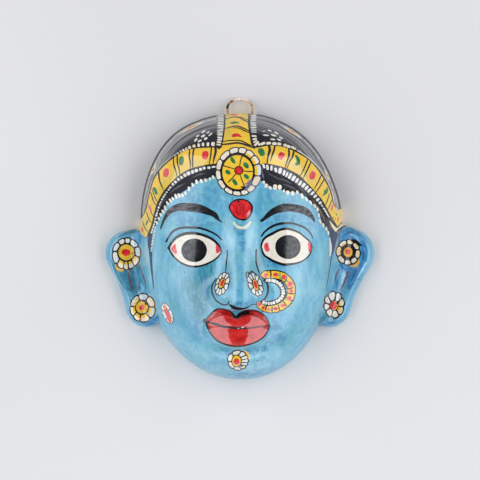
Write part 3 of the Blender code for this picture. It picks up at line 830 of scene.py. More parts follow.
def paint_tiara_beads(canvas):
    """Dark edges of the tiara, with beads on them."""
    top_left = (
        ((213, 144), 1.75, 1.95, 4, "cream"), ((207.9, 144.3), 1.3, 1.9, 4, "cream"),
        ((203, 144.4), 1.25, 1.8, 4, "cream"), ((198.7, 145.2), 1.25, 1.8, 0, "cream"),
        ((194, 146), 1.5, 1.5, 0, "warm"), ((189.6, 147.4), 1.4, 1.5, -16, "cream"),
        ((186.3, 148.9), 1.2, 1.4, -28, "pearl"), ((183.3, 150.2), 1.1, 1.3, -30, "cream"),
        ((180.6, 151.5), 1.0, 1.2, -32, "pearl"), ((177.8, 153.2), 1.2, 0.9, -34, "pearl"),
        ((174.7, 155.2), 1.2, 0.8, -36, "pearl"),
    )
    top_right = (
        ((262.9, 143.6), 2.4, 1.3, -22, "cream"), ((268.6, 143.2), 2.4, 1.3, -4, "cream"),
        ((274.4, 143.6), 2.3, 1.4, 2, "cream"), ((279.3, 144), 2.0, 1.4, 10, "cream"),
        ((285, 145.2), 1.7, 1.4, 16, "cream"), ((288.6, 146.5), 1.8, 1.5, 20, "cream"),
        ((293.5, 147.9), 3.0, 1.0, 28, "cream"), ((298.7, 151), 2.2, 0.8, 32, "pearl"),
    )
    upper_left = ((216, 144.4), (205, 144.4), (194, 145.8), (184, 149), (176, 154))
    upper_right = ((258, 144.4), (268.8, 142.8), (280, 143.6), (290, 146.2), (299, 150))
    canvas.stroke(upper_left, (5.2, 5.2, 4.8, 3.8, 2.0))
    canvas.stroke(upper_right, (3.2, 4.4, 4.4, 4.0, 2.0))
    for middle, long, wide, turn, paint in top_left + top_right:
        canvas.dab(middle, (long, wide), paint, turn, 3.4, 0.09)
    left_edge = (
        (176.5, 153.4), (167, 160.6), (158.6, 168.6), (153, 177), (149.6, 187), (147, 198), (144.4, 209),
    )
    right_edge = ((300, 151.8), (310, 159), (319.8, 169), (327, 180), (331.8, 191), (334.4, 203))
    canvas.stroke(left_edge, (1.0, 0.9, 0.8, 0.8, 0.7), "rim_grey", 0.35)
    canvas.stroke(right_edge, (1.1, 1.0, 0.9, 0.9, 0.8), "pearl", 0.35)
    for middle, paint in (((336.6, 209.4), "pearl"), ((338.2, 209), "brown")):
        canvas.dab(middle, (0.6, 1.8), paint, 4, 2.6, 0.15)
    low = (
        (216, 166.8), (204.5, 168.4), (194, 171.5), (184.6, 175.7), (176, 181.9), (168, 190), (161.5, 200),
        (157, 211), (153.5, 224), (149.5, 236),
    )
    canvas.stroke(low, (3.4, 3.8, 3.8, 3.4, 3.0, 2.8, 2.4, 2.2, 2.2, 1.4))
    low_left = (
        ((213.6, 166.9), 1.9, 0.9, -8), ((208.8, 167.7), 1.6, 1.2, 10), ((204.2, 168.1), 1.4, 1.2, -8),
        ((200.4, 169.2), 1.3, 1.3, -10), ((196.2, 170.5), 1.6, 1.6, 20), ((192.5, 171.8), 1.5, 1.8, -24),
        ((188.4, 173.3), 1.7, 1.9, -30), ((184.9, 175.1), 1.5, 1.6, -30), ((181.4, 177.4), 1.2, 1.5, -40),
        ((178.4, 179.4), 1.1, 1.3, -42), ((175.4, 182), 1.1, 1.4, -45), ((172.9, 184.3), 1.0, 1.2, -45),
    )
    canvas.dabs(low_left, "white", 3.0, 0.1)
    canvas.beads(
        ((171, 186.2), (163.8, 196.4), (159.2, 206), (156.2, 216), (153.6, 226), (150.4, 235)),
        2.9, (1.1, 0.85), "white", 0, 2.6, 0.14,
    )
    lower_right = (
        (262, 165.4), (272, 167.8), (284.8, 172.6), (297.6, 180.6), (309, 191.2), (319, 204), (327.6, 216.6),
        (333, 226),
    )
    canvas.stroke(lower_right, (3.4, 6.2, 6.8, 6.4, 5.6, 4.2, 3.0, 2.0))
    low_right = (
        ((263.8, 166), 1.2, 2.4, -18), ((267.5, 167.3), 1.3, 2.7, -8), ((271.4, 168.1), 1.05, 2.5, 4),
        ((275.8, 170), 1.2, 2.4, -16), ((280.1, 170.8), 1.6, 3.0, 14), ((284.1, 172.8), 1.2, 2.7, 16),
        ((286.9, 174.4), 1.0, 2.6, 20), ((290, 176), 1.4, 2.9, 24), ((293.6, 178.3), 1.6, 2.9, 28),
        ((297, 180.6), 1.2, 2.7, 30), ((300.2, 183), 1.2, 2.7, 34), ((303.6, 185.2), 1.5, 2.5, 38),
        ((306.6, 187.8), 1.2, 2.5, 42), ((309.5, 190.3), 1.4, 2.4, 44), ((312.5, 193.2), 1.3, 2.3, 46),
        ((315.2, 196.2), 1.3, 2.1, 48), ((317.8, 199.6), 1.3, 1.9, 52), ((320.2, 202.8), 1.3, 1.6, 56),
    )
    canvas.dabs(low_right, "white", 3.4, 0.1)
    canvas.beads(((321.4, 204.6), (326, 212), (331, 221.4)), 3.2, (1.5, 0.8), "white", 0, 2.6, 0.15)
    corner = (
        (328.6, 217.6), (331.6, 222.4), (337, 228.2), (340.6, 224.6), (343.6, 222.2), (346.6, 223.4),
        (341.6, 227.2), (338.6, 230.4), (336.4, 232), (333.6, 229.4), (330.4, 223.4),
    )
    canvas.shape(corner, "warm")
    canvas.stroke(
        ((326, 214.6), (331.6, 221.6), (337.1, 227), (340.4, 223.8), (343.2, 221.6)),
        (1.0, 1.6, 1.7, 1.2, 0.8),
    )
    canvas.stroke(((336.2, 232.6), (338, 230.4), (341.4, 227.6), (348.6, 225)), (0.8, 1.3, 1.3, 0.8))


def paint_crown_band(canvas):
    """The band from the crown down to the tiara, between two columns of beads."""
    left, right = (curve(side) for side in CROWN_SIDES)
    left_column = ((220.4, 106), (220.6, 118), (220.4, 132), (218.9, 146.4))
    right_column = ((253.2, 106), (253.5, 118), (253.6, 132), (254.4, 141), (257.4, 145))
    canvas.stroke(left_column, (7.8, 7.6, 7.4, 6.4), "column_grey")
    canvas.stroke(right_column, (7.2, 7.0, 6.6, 5.4, 3.4), "column_grey")
    canvas.stroke(((219.9, 135), (219, 146.6)), (6.8, 6.2))
    canvas.stroke(((253.8, 134), (255, 142), (258, 145.4)), (6.6, 5.8, 3.6))
    canvas.beads(((220.4, 107), (220.7, 120), (220.5, 133)), 2.45, (0.85, 3.0), "pearl", 0, 3.6, 0.1)
    canvas.beads(((220.2, 133.6), (219.2, 145.8)), 2.5, (0.9, 2.7), "cream", 0, 3.6, 0.08)
    canvas.beads(((253.3, 107), (253.5, 120), (253.7, 134)), 2.4, (0.85, 2.8), "pearl", 0, 3.6, 0.1)
    turning = (
        ((253.9, 136), 2.7, 0.9, 4), ((254.7, 139), 2.3, 0.9, -14), ((255.2, 141.4), 2.3, 0.8, -34),
        ((256.6, 143.6), 2.9, 1.2, -44), ((259.4, 144.4), 1.4, 1.1, -30),
    )
    canvas.dabs(turning, "cream", 3.0, 0.08)
    canvas.fill(np.vstack([left, right[::-1]]), "yellow")
    canvas.stroke(CROWN_SIDES[0], (1.2, 1.5, 1.5, 1.6))
    canvas.stroke(CROWN_SIDES[1], (1.4, 1.9, 1.9, 1.6))
    canvas.stroke(((216, 147.2), (218.6, 147.6), (221, 145.8), (222, 143)), (1.4, 1.6, 1.4, 1.2))
    bars = (
        (
            ((221.8, 141.9), (226, 141), (231.8, 140.4), (240.2, 140.6), (248.4, 144.3), (252.4, 145.6)),
            (1.0, 1.3, 1.3, 1.1),
        ),
        (
            ((221.6, 144.6), (229.5, 143.8), (237.1, 142.9), (243.2, 144), (248.6, 146), (255, 148.2)),
            (1.5, 1.9, 2.0, 1.5),
        ),
        (
            ((225, 128.2), (229.7, 127.4), (232.8, 126.3), (238.1, 126.2), (242.7, 127.9), (249.4, 131)),
            (0.7, 1.3, 1.4, 1.2),
        ),
        (((232.6, 128), (238.1, 127.9), (243.5, 130.2), (249.4, 132.9)), (0.6, 1.1, 1.3, 1.1)),
        (((225.6, 119), (232, 117.3), (238.9, 117.3), (243.5, 119.9), (248.6, 122.2)), (0.6, 1.1, 1.4, 1.1)),
        (((240, 116.6), (244, 118.4), (248.6, 120.4)), (0.4, 0.8, 0.6)),
    )
    canvas.strokes(bars)
    red_leaf = (
        (231.4, 135.9), (233, 134), (236, 133.3), (239.2, 134.1), (241.8, 137.2), (238, 136.7),
        (234.5, 137.1), (232, 137),
    )
    canvas.shape(red_leaf, "red")
    green_leaf = (
        (230, 123.4), (231.6, 122), (235, 121.3), (238.2, 122), (239.6, 123.2), (236, 123.5), (233, 123.9),
    )
    canvas.shape(green_leaf, "green")
    canvas.dab((234.3, 114.9), (4.3, 0.9), "rose", 0, 2.0, 0.15)


def paint_medallion(canvas):
    """The round jewel in the middle of the tiara."""
    outer, inner = (238.6, 171.5, 23.2, 24.4), (237.6, 172, 17.0, 19.0)
    ways = (11, 40, 62, 82, 105, 131, 158, 184.5, 213, 245, 271, 293, 316, 340)
    canvas.dab((238.6, 171.5), (21.5, 22.8), "black", uneven=0.01)
    canvas.petals(inner, outer, ways, "cccccccccccCCB", 0, 0.62)
    canvas.petals(inner, outer, (11, 40, 62), "cc", 0, 0.6, "slate")
    canvas.dab((237.4, 172), (17.0, 19.0), "black", uneven=0.015)
    canvas.dab((237.6, 172.2), (15.3, 17.0), "yellow", uneven=0.015)
    for start, end in (
        ((239.6, 166.6), (242.3, 155.6)), ((234.2, 168.8), (222.8, 165.4)), ((242.3, 170.6), (252.4, 171.4)),
        ((236, 173.6), (228.4, 182)), ((239.8, 173.8), (244.6, 186.8)),
    ):
        bend = (np.array(start) + np.array(end)) / 2 + dice.uniform(-0.5, 0.5, 2)
        canvas.stroke((start, bend, end), (0.9, 1.1, 1.3))
    for middle, reach, turn in (
        ((232.7, 160.2), (3.8, 1.9), 62), ((246.1, 165.3), (3.6, 2.2), 52), ((227.9, 172.3), (2.9, 2.1), 32),
        ((234.8, 182.2), (3.9, 1.9), 58), ((246.4, 176.6), (3.3, 2.0), 44),
    ):
        canvas.dab(middle, reach, "green", turn, 2.1, 0.1)
    canvas.dab((238.8, 170.4), (4.6, 4.6), "black", uneven=0.03)
    canvas.dab((238.8, 170.4), (3.6, 3.6), "red")
    shadow = (
        (250, 179.4), (252.4, 181.2), (250.4, 186), (246.6, 190.2), (244.2, 190.4), (245.4, 187),
        (248, 183.6),
    )
    canvas.shape(shadow, "slate")
    canvas.hatch(((249.6, 180), (247, 184), (244.4, 188)), 1.1, 4.4, 0.8, "slate", 70)
    canvas.dab((243.4, 187.4), (2.6, 1.0), "black", 15, 2.2, 0.2)


def paint_brows(canvas):
    for outline in (LEFT_BROW, RIGHT_BROW):
        canvas.shape(outline, "brow_black")


def paint_bindi(canvas):
    """The red mark on the forehead with painted highlights on its edges, and the pale crescent under it."""
    ring = (
        (228.6, 206.4), (231.6, 201.6), (236.6, 199), (242.4, 198.7), (248.6, 200.8), (252.6, 205.4),
        (252.7, 211), (250.2, 216.8), (245.4, 220.5), (239.2, 219.9), (233.8, 216.8), (230, 211.4),
    )
    red = (
        (229.9, 206.6), (232.5, 202.6), (237.6, 200.4), (243.8, 200.3), (248.4, 202.6), (250.8, 206.4),
        (250.9, 211), (249, 215.4), (245.4, 218.4), (239.6, 218.5), (234.8, 215.8), (231.4, 211.6),
    )
    canvas.shape(ring, "black")
    canvas.shape(red, "red")
    for line in (
        ((239, 203.6), (240.6, 208.6), (240, 215)), ((243.8, 203), (243, 208), (244.6, 214)),
        ((234.8, 206), (237, 211.6), (239, 216)),
    ):
        canvas.stroke(line, (0.5, 2.0, 1.6, 0.5), "deep_red", 0.35)
    # Painted highlights: rose and pink dabs at the lower right edge, and a rose one at the left edge
    canvas.dab((248, 213.4), (1.7, 3.4), "rose", 32, 2.2, 0.2)
    canvas.dab((248.8, 212.6), (0.8, 2.2), "petal_pink", 32, 2.2, 0.25)
    canvas.dab((231.8, 207), (0.7, 1.8), "rose", -16, 2.2, 0.2)
    canvas.dab((238.4, 201.4), (0.9, 1.2), "black", 10, 2.4, 0.2)
    crescent = (
        (233, 222.4), (234.6, 221.9), (237.2, 224.9), (241.6, 226.4), (246.2, 225), (249.6, 221.4),
        (251.3, 221.4), (249.6, 225.6), (246.4, 228.6), (242, 229.4), (237.6, 228.3), (234.4, 225.4),
    )
    canvas.shape(crescent, "bone")


def paint_eyes(canvas):
    """Lids, whites and pupils, and the folds above them."""
    canvas.stroke(LEFT_FOLD, (1.8, 2.2, 2.4, 2.3, 1.9, 1.2))
    canvas.stroke(RIGHT_FOLD, (1.6, 2.4, 2.6, 2.0, 1.8, 1.3))
    canvas.dab((166.2, 241.4), (1.1, 1.1), "black", 0, 2.2, 0.1)
    for upper, lower, upper_widths, lower_widths, pupil, reach in (
        (
            LEFT_UPPER_LID, LEFT_LOWER_LID, (2.0, 3.1, 2.9, 2.6, 2.0), (1.8, 1.9, 2.1, 1.8, 1.5),
            (194.1, 250.3), (12.8, 11.9),
        ),
        (
            RIGHT_UPPER_LID, RIGHT_LOWER_LID, (1.7, 2.8, 2.4, 1.8, 1.6), (1.6, 2.5, 2.7, 1.5, 1.2),
            (288, 247), (12.8, 12.1),
        ),
    ):
        white = np.vstack([curve(upper), curve(lower)[::-1][1:-1]])
        canvas.fill(white, "eye_white")
        canvas.stroke(upper, upper_widths, uneven=0.06)
        canvas.stroke(lower, lower_widths, uneven=0.06)
        canvas.dab(pupil, reach, "pupil", 0, 2.0, 0.02)
    canvas.dab((168.8, 248), (1.7, 1.3), "black")
    for patch in (
        (
            (171.4, 248.8), (174, 244.6), (175.4, 243.4), (176, 247), (177, 251.6), (176.2, 254.4),
            (173.4, 252.4),
        ),
        ((216, 244.4), (218.6, 246.6), (220.2, 250), (219.4, 252.4), (216.4, 253.2), (215.8, 249)),
        ((264, 246.6), (265, 243.2), (267.8, 242.8), (269, 247), (269.8, 250), (268, 251.6), (265.6, 251)),
        ((307.8, 243.4), (309.2, 242), (311.4, 246), (311.2, 250.6), (309, 252.2), (308.4, 248)),
    ):
        canvas.shape(patch, "rose")
    for middle, reach in (
        ((174.4, 246.8), (0.6, 1.8)), ((217.6, 248.4), (0.6, 2.4)), ((266.4, 246), (0.8, 2.0)),
    ):
        canvas.dab(middle, reach, "red", -10, 2.0, 0.2)


def paint_nose(canvas):
    """Lines of the nose, the shadow under it and a flower on each wing."""
    sides = (
        (((227.3, 250), (227.2, 255), (226.4, 262.7), (225.6, 271.5)), (1.5, 1.6, 1.4, 1.0)),
        (((256.2, 249.8), (256, 258.9), (256.8, 265), (259.4, 273.4)), (1.8, 1.8, 1.5, 1.1)),
        (
            (
                (216.2, 278.8), (212.8, 284.1), (211.7, 289.5), (212.8, 294.8), (215.9, 300.2), (221.2, 304),
                (225, 304.8), (228, 303.9), (228.7, 301.6),
            ),
            (1.1, 1.6, 1.8, 1.6, 1.4, 1.6),
        ),
        (
            (
                (264.8, 280.3), (267.3, 284.1), (268, 290.2), (266.3, 296.4), (263.3, 300.2), (260.2, 302.1),
                (256.4, 304), (251, 304.9),
            ),
            (1.4, 2.0, 2.0, 1.5, 1.1, 0.8),
        ),
    )
    canvas.strokes(sides)
    under = (
        (229.8, 304.8), (232.8, 307), (236.6, 308.4), (240.6, 308.8), (244.6, 308.4), (248, 307.2),
        (250.4, 305.6),
    )
    canvas.stroke(under, (1.6, 3.6, 3.2, 2.6, 1.8, 1.3, 0.8), "shaded_black")
    outer, inner = (222.3, 283.8, 12.0, 6.6), (221.8, 283.4, 5.4, 2.9)
    canvas.petals(inner, outer, (4, 38, 80, 118, 152, 184, 218, 255, 292, 326), "wcwwwwwwww", -70, 0.55)
    canvas.heart((221.8, 283.4), (4.9, 2.4), (222.3, 282.9), (3.7, 1.7), -66, 0.7)
    outer, inner = (255.2, 284.2, 12.6, 6.9), (255.6, 284.8, 5.9, 2.7)
    canvas.petals(inner, outer, (2, 36, 74, 112, 148, 182, 214, 250, 290, 326), "wwwwbbwwww", 68, 0.55)
    canvas.heart((255.7, 284.8), (5.6, 2.2), (255.6, 284.6), (4.5, 1.6), 72, 0.7)
    canvas.stroke(((246.8, 278.4), (246, 274), (247.6, 272), (250, 274.4)), (1.1, 1.5, 1.1))
    canvas.stroke(((250, 274.4), (251.2, 271), (254, 272.6), (256.6, 276)), (0.8, 1.3, 0.9))


def paint_nose_ring(canvas):
    """The yellow ring with its dark bars, red stones and inner row of beads."""
    middle = (
        (264, 275), (270, 274.6), (275.9, 274.6), (284.3, 277.4), (290, 284), (291.4, 291), (289.6, 298.3),
        (284.4, 304.4), (276.4, 308.2), (268.3, 308.9), (262.4, 307.4), (258.6, 303.8),
    )
    scallops = (
        (269, 273), (276, 272.8), (285, 275.4), (290.8, 282.2), (293, 290.8), (291.2, 299.2), (285.4, 306),
        (276.8, 310.2), (267.8, 310.8), (260.8, 308),
    )
    canvas.stroke(middle, (9.4, 9.6, 9.4, 9.2, 8.8, 8.0, 6.4), "black", 0.04)
    canvas.beads(scallops, 5.9, (3.5, 2.5), "black", 0, 2.0, 0)
    canvas.stroke(middle, (6.8, 7.0, 7.0, 7.0, 6.6, 5.8, 4.4), "yellow", 0.05)
    canvas.beads(scallops, 5.9, (2.6, 1.6), "yellow", 0, 2.0, 0)
    for spot, reach, turn in (
        ((279.6, 274.6), (1.4, 2.2), 0), ((281, 278.6), (2.2, 1.2), 30), ((287, 281), (1.0, 1.6), 40),
        ((287.6, 290.6), (1.0, 1.6), 0), ((286.6, 299.6), (1.4, 1.0), 30), ((281, 304.6), (1.4, 0.9), 0),
        ((271.4, 309.8), (1.0, 1.4), 0), ((265.6, 306.6), (1.2, 1.0), 0),
    ):
        canvas.dab(spot, reach, "olive", turn, 2.2, 0.2)
    for across in (
        ((270.4, 270.8), (271, 275), (270, 278.6)), ((286.6, 276), (286, 280), (284, 282.6)),
        ((293, 287.4), (290, 288.6), (287, 288.8)), ((294, 293.6), (291, 293.8), (287.6, 292.8)),
        ((292, 300.4), (289.4, 299.8), (286.8, 297.6)), ((286.4, 305.8), (285, 303.6), (283.4, 301.6)),
        ((279.2, 309.8), (279, 307.6), (278, 305)), ((272, 311.4), (272.2, 309), (272, 306.2)),
        ((265.6, 310.4), (266, 308), (266.6, 305.6)),
    ):
        canvas.stroke(across, (1.3, 1.3, 1.0))
    for place, reach, paint in (
        ((265.8, 275.4), (2.2, 2.2), "rose"), ((275.6, 274.6), (2.5, 2.0), "rose"),
        ((284, 277), (2.5, 2.4), "rose"), ((290, 284.2), (2.9, 3.0), "rose"),
        ((291.2, 291), (2.0, 2.2), "rose"), ((289.5, 298.4), (2.0, 2.3), "rose"),
        ((283, 305.6), (2.2, 1.8), "rose"), ((275.6, 308.6), (2.3, 1.7), "red"),
        ((268.6, 309.4), (1.9, 1.6), "rose"), ((263.2, 307.8), (1.8, 1.7), "red"),
        ((259.2, 304.4), (2.2, 1.7), "rose"),
    ):
        canvas.dab(place, reach, paint, 0, 2.2, 0.14)
        canvas.dab(np.array(place) + (0.4, -0.5), np.array(reach) * 0.45, "red", 0, 2.0, 0.2)
    pearls = (
        (265.4, 280.4), (272.8, 280.6), (278.6, 283), (282, 287.2), (283.4, 291.8), (282, 297),
        (278.2, 300.6), (272.8, 302.9), (267.5, 303.4), (262, 301.8),
    )
    canvas.stroke(pearls, (4.6, 5.6, 6.2, 6.2, 5.6, 5.2, 4.4), "black", 0.04)
    canvas.beads(pearls, 2.7, (1.15, 1.75), "white", 0, 3.0, 0.12)


def paint_lips(canvas):
    canvas.fill(np.vstack([curve(LIPS_UPPER), curve(LIPS_LOWER)[::-1][1:-1]]), "lip_red")
    canvas.stroke(LIPS_UPPER, (1.6, 2.0, 1.7, 2.0, 1.8, 1.6, 1.5), uneven=0.06)
    canvas.stroke(LIPS_LOWER, (1.9, 1.9, 1.8, 1.6, 1.5, 1.5), uneven=0.06)
    canvas.stroke(MOUTH_LINE, (1.7, 2.8, 2.1, 1.9, 1.4, 1.0), uneven=0.06)
    dip = (
        (229.4, 311.4), (234, 314.4), (236.2, 315.8), (239.6, 312.8), (244, 310.8), (248.8, 310),
        (249.2, 314.2), (244.6, 314.6), (240.6, 316.2), (237.4, 318.6), (234.6, 317.8), (232, 314.6),
    )
    canvas.shape(dip, "black")
    canvas.dab((204.9, 320.8), (2.2, 2.2), "black", 30, 2.2, 0.12)
    canvas.dab((242.8, 327.2), (1.7, 0.8), "pearl", -20, 2.0, 0.2)
    canvas.dab((238.4, 328.4), (0.8, 0.5), "pearl", 0, 2.0, 0.2)


def paint_jaw(canvas):
    """Along the lower edge: pale lines that are painted highlights, and dark brush lines."""
    for start, end, share, paint in (
        (-22, -48, 0.972, "sky"), (-50, -74, 0.966, "sky"), (-104, -128, 0.972, "sky"),
        (-132, -152, 0.98, "sky"), (-47, -53, 0.985, "cup_blue"), (-60, -64, 0.985, "cup_blue"),
        (-112, -118, 0.988, "cup_teal"),
    ):
        canvas.rim_stroke(start, end, share, (0.1, 0.5, 0.7, 0.5, 0.1), paint, 0.35)


def paint_face_jewels(canvas):
    """The flower on the chin and the one on the cheek."""
    sepal = (
        (243.6, 350.6), (247.6, 352.2), (249.8, 356.4), (249.2, 361.4), (247.4, 361.6), (247.2, 356.6),
        (244, 353),
    )
    canvas.shape(sepal, "yellow")
    outer, inner = (238, 360.3, 10.6, 10.0), (236.5, 361, 4.5, 5.8)
    canvas.petals(inner, outer, (14, 36, 66, 116, 172, 232, 290, 326, 350), "wcwcccwcw", 0, 0.6)
    canvas.heart((236.5, 361), (4.3, 5.5), (236.5, 361.6), (3.0, 3.3), 0, 0.9)
    canvas.dab((241.4, 366), (1.6, 0.9), "black", 30, 2.2, 0.2)
    outer, inner = (167.3, 313.2, 11.2, 4.6), (167.4, 313.4, 7.6, 1.9)
    canvas.petals(inner, outer, (20, 60, 115, 160, 200, 255, 310, 340), "wwwwwwww", 67, 0.34)
    canvas.stroke(((164.4, 306.6), (166.6, 312), (170.2, 321.6)), (2.0, 3.6, 3.0), "rose", 0.12)
    canvas.dab((165, 308.4), (0.9, 1.6), "orange", -20, 2.0, 0.15)
    canvas.dab((171.9, 318.2), (0.8, 1.1), "yellow", -20, 2.0, 0.15)


def paint_left_ear(canvas):
    """Hollows of the ear in darker blue, and its two flowers."""
    cup = (
        (111.8, 258), (112.9, 267), (115.9, 274.3), (118, 279.4), (122.6, 286.5), (128.7, 291.4),
        (135.4, 293), (139.4, 290.6), (142, 285.5), (141, 280.4), (139.6, 274), (138.9, 264), (132, 256),
        (120, 254),
    )
    canvas.stroke(((118.5, 237), (126, 233.4), (135.6, 231)), (0.8, 3.2, 4.2), "cup_teal", 0.3)
    canvas.stroke(((138.4, 231), (139.8, 238), (139, 246)), (3.4, 4.0, 1.0), "cup_blue", 0.3)
    # Darker blue where the lower lobe meets the cheek: painted shade in the crease
    canvas.stroke(((145, 325), (152, 322.6), (158.6, 317)), (1.5, 5.0, 3.0), "cup_blue", 0.3)
    canvas.stroke(((151.6, 320), (155, 318.6), (157.6, 315.4)), (1.0, 2.6, 1.0), "cup_deep", 0.3)
    canvas.shape(cup, "cup_teal")
    # Pale blue strokes on the ear's rim and beside its hollow: painted highlights
    canvas.stroke(((110.4, 261), (112.8, 270), (116.4, 278), (121.6, 286)), (0.5, 0.9, 1.3, 0.6), "sky", 0.4)
    canvas.stroke(((140.6, 283), (142.4, 288), (141, 293.6)), (0.8, 3.4, 1.4), "sky", 0.3)
    canvas.stroke(((136, 268), (137, 276), (136, 285)), (0.6, 2.0, 0.5), "cup_blue", 0.4)
    canvas.stroke(((128.3, 268), (129.1, 276.6), (130.8, 283), (133, 289.8)), (1.0, 1.7, 1.6, 1.3), "brown")
    canvas.stroke(
        ((138, 262.6), (142.8, 275.1), (145.4, 283.5), (145.8, 290.4)), (1.4, 1.0, 1.3, 0.7), "brown",
    )
    canvas.shape(((115.6, 264), (119, 268), (124, 269.6), (122.4, 271.4), (118.6, 271), (116, 268)), "orange")
    outer, inner = (126.4, 253.7, 14.4, 16.0), (126.2, 252.5, 8.8, 8.9)
    canvas.petals(inner, outer, (16, 55, 80, 103, 135, 188, 231, 263, 290, 331), "CCYYwwwwbb", 0, 0.7)
    canvas.heart((126.2, 252.4), (7.7, 7.9), (126, 252.4), (4.4, 3.4), 0, 1.1, "ochre")
    outer, inner = (142.7, 307.8, 12.9, 14.4), (142, 307.5, 6.8, 7.2)
    canvas.petals(inner, outer, (52, 103, 141, 187, 250, 300, 356), "YYYCbcB", 0, 0.7)
    canvas.heart((141.9, 307.4), (5.9, 6.1), (141.9, 307.4), (2.9, 2.6), -30, 0.9, "ochre")
    canvas.dab((146, 303.6), (1.4, 1.4), "black", 30, 2.2, 0.2)
    canvas.dab((140.6, 318.6), (1.1, 0.8), "rose", 30, 2.2, 0.2)


def paint_right_ear(canvas):
    """Hollows of the ear in darker blue, and its two flowers."""
    cup = (
        (340.4, 233), (344.4, 229.4), (349.6, 227.6), (356, 230.6), (361.6, 235.4), (365.4, 241),
        (367.2, 248.6), (366.6, 256), (364.6, 263.6), (360.4, 271), (356.2, 278.4), (352.3, 285.6),
        (350.2, 289.6), (347, 286.6), (348.8, 280), (345, 275), (341, 268), (339, 262), (336.6, 254),
        (337.6, 244),
    )
    # Darker blue where the lower lobe meets the cheek: painted shade in the crease
    canvas.stroke(((318, 324), (322.6, 319), (327, 312.6)), (1.5, 5.5, 3.5), "cup_teal", 0.3)
    canvas.stroke(((322, 324.4), (329, 323.4), (338, 321.4)), (1.0, 2.4, 0.8), "cup_blue", 0.3)
    canvas.shape(cup, "cup_blue")
    # Pale blue strokes: partly brush marks, partly painted highlights on the hollow's rim
    for line, paint in (
        (((350, 234), (357, 238), (361, 246)), "sky"),
        (((365.6, 262), (361.6, 270.6), (356.4, 278.6)), "sky"),
        (((341, 270), (342.6, 276), (341.8, 284)), "sky"),
        (((343.6, 270), (344.6, 275), (343.6, 279)), "sky"),
        (((352.6, 279), (349.6, 284), (348.4, 290)), "cup_blue"),
        (((337.4, 279), (336.8, 284), (336.8, 290)), "cup_blue"),
        (((333.6, 272), (333.2, 279), (332.2, 286)), "sky"),
        (((362.6, 248), (363.4, 256), (361, 264)), "cup_deep"),
        (((357, 268), (353.6, 275), (351, 282)), "cup_deep"),
        (((341.6, 238), (347, 233), (353, 232)), "cup_deep"),
    ):
        canvas.stroke(line, (0.6, 2.6, 2.2, 0.6), paint, 0.35)
    canvas.stroke(((339.2, 269), (336.2, 275), (334.8, 282)), (1.0, 1.4, 0.7), "brown")
    canvas.stroke(((348.4, 272), (344.8, 281.8), (339.6, 290)), (2.2, 1.5, 1.0), "brown")
    canvas.shape(
        ((349, 265.4), (354, 264.6), (358.6, 259.6), (359.6, 262), (357, 266), (352.6, 267.2)), "orange",
    )
    outer, inner = (348.2, 252.3, 12.2, 12.9), (348, 251.9, 7.4, 7.6)
    canvas.dab((348.2, 252.3), (10.4, 11), "black", uneven=0.02)
    canvas.petals(inner, outer, (34, 73, 111, 158, 214, 261, 301, 347), "cccCWyyy", 0, 0.7, fullness=2.7)
    canvas.dab((348, 251.9), (7.6, 7.7), "black", uneven=0.03)
    canvas.dab((348.2, 252.2), (4.4, 5.0), "orange", 0, 2.0, 0.06)
    canvas.dab((347.8, 251.6), (2.7, 2.7), "red", uneven=0.08)
    canvas.stroke(((351.2, 240.2), (355.4, 241.4), (358.4, 243.8), (361.8, 245.4)), (2.2, 3.8, 3.4, 1.4))
    outer, inner = (334.1, 304.6, 10.4, 13.5), (333.9, 305.4, 4.0, 4.6)
    canvas.petals(inner, outer, (9.5, 57, 105, 150, 190, 228, 282, 326), "YccwwwwY", 0, 0.72, fullness=2.8)
    canvas.heart((334.2, 305.5), (3.8, 4.5), (333.5, 305.5), (3.3, 4.1), 0, 0.8, "orange")
    canvas.dab((337.6, 302.6), (1.3, 1.9), "black", 20, 2.2, 0.2)


HEAD_PAINTING = (
    paint_hair, paint_hair_jewels, paint_tiara, paint_tiara_beads, paint_hairline_beads, paint_crown_band,
    paint_medallion, paint_brows, paint_bindi, paint_eyes, paint_nose, paint_nose_ring, paint_lips, paint_jaw,
    paint_face_jewels, paint_left_ear, paint_right_ear,
)
EAR_PAINTING = {-1: (paint_tiara, paint_left_ear), 1: (paint_tiara, paint_tiara_beads, paint_right_ear)}


def paint_all(canvas, painting):
    """Each part starts from the same throw, so that it comes out alike on the head and on an ear."""
    for paint in painting:
        dice.bit_generator.state = FIRST_THROW
        paint(canvas)


def hex_points(low, high, step):
    """Points of a triangular grid over this box."""
    rows = np.arange(low[1], high[1], step * ROW_SPACING)
    columns = np.arange(low[0], high[0], step)
    x, y = np.meshgrid(columns, rows)
    x = x + (np.arange(len(rows)) % 2)[:, None] * step / 2
    return np.stack([x.ravel(), y.ravel()], 1)


def cells(points, size):
    """The number of the square cell that each point lies in."""
    at = np.floor(points / size).astype(np.int64)
    return at[:, 0] * CELL_STRIDE + at[:, 1]


def clear_of(points, held, distance):
    """The points that are about this far from every held point."""
    steps = [np.array([i, j]) * distance for i in (-1, 0, 1) for j in (-1, 0, 1)]
    taken = np.concatenate([cells(held + step, distance) for step in steps])
    return points[~np.isin(cells(points, distance), taken)]


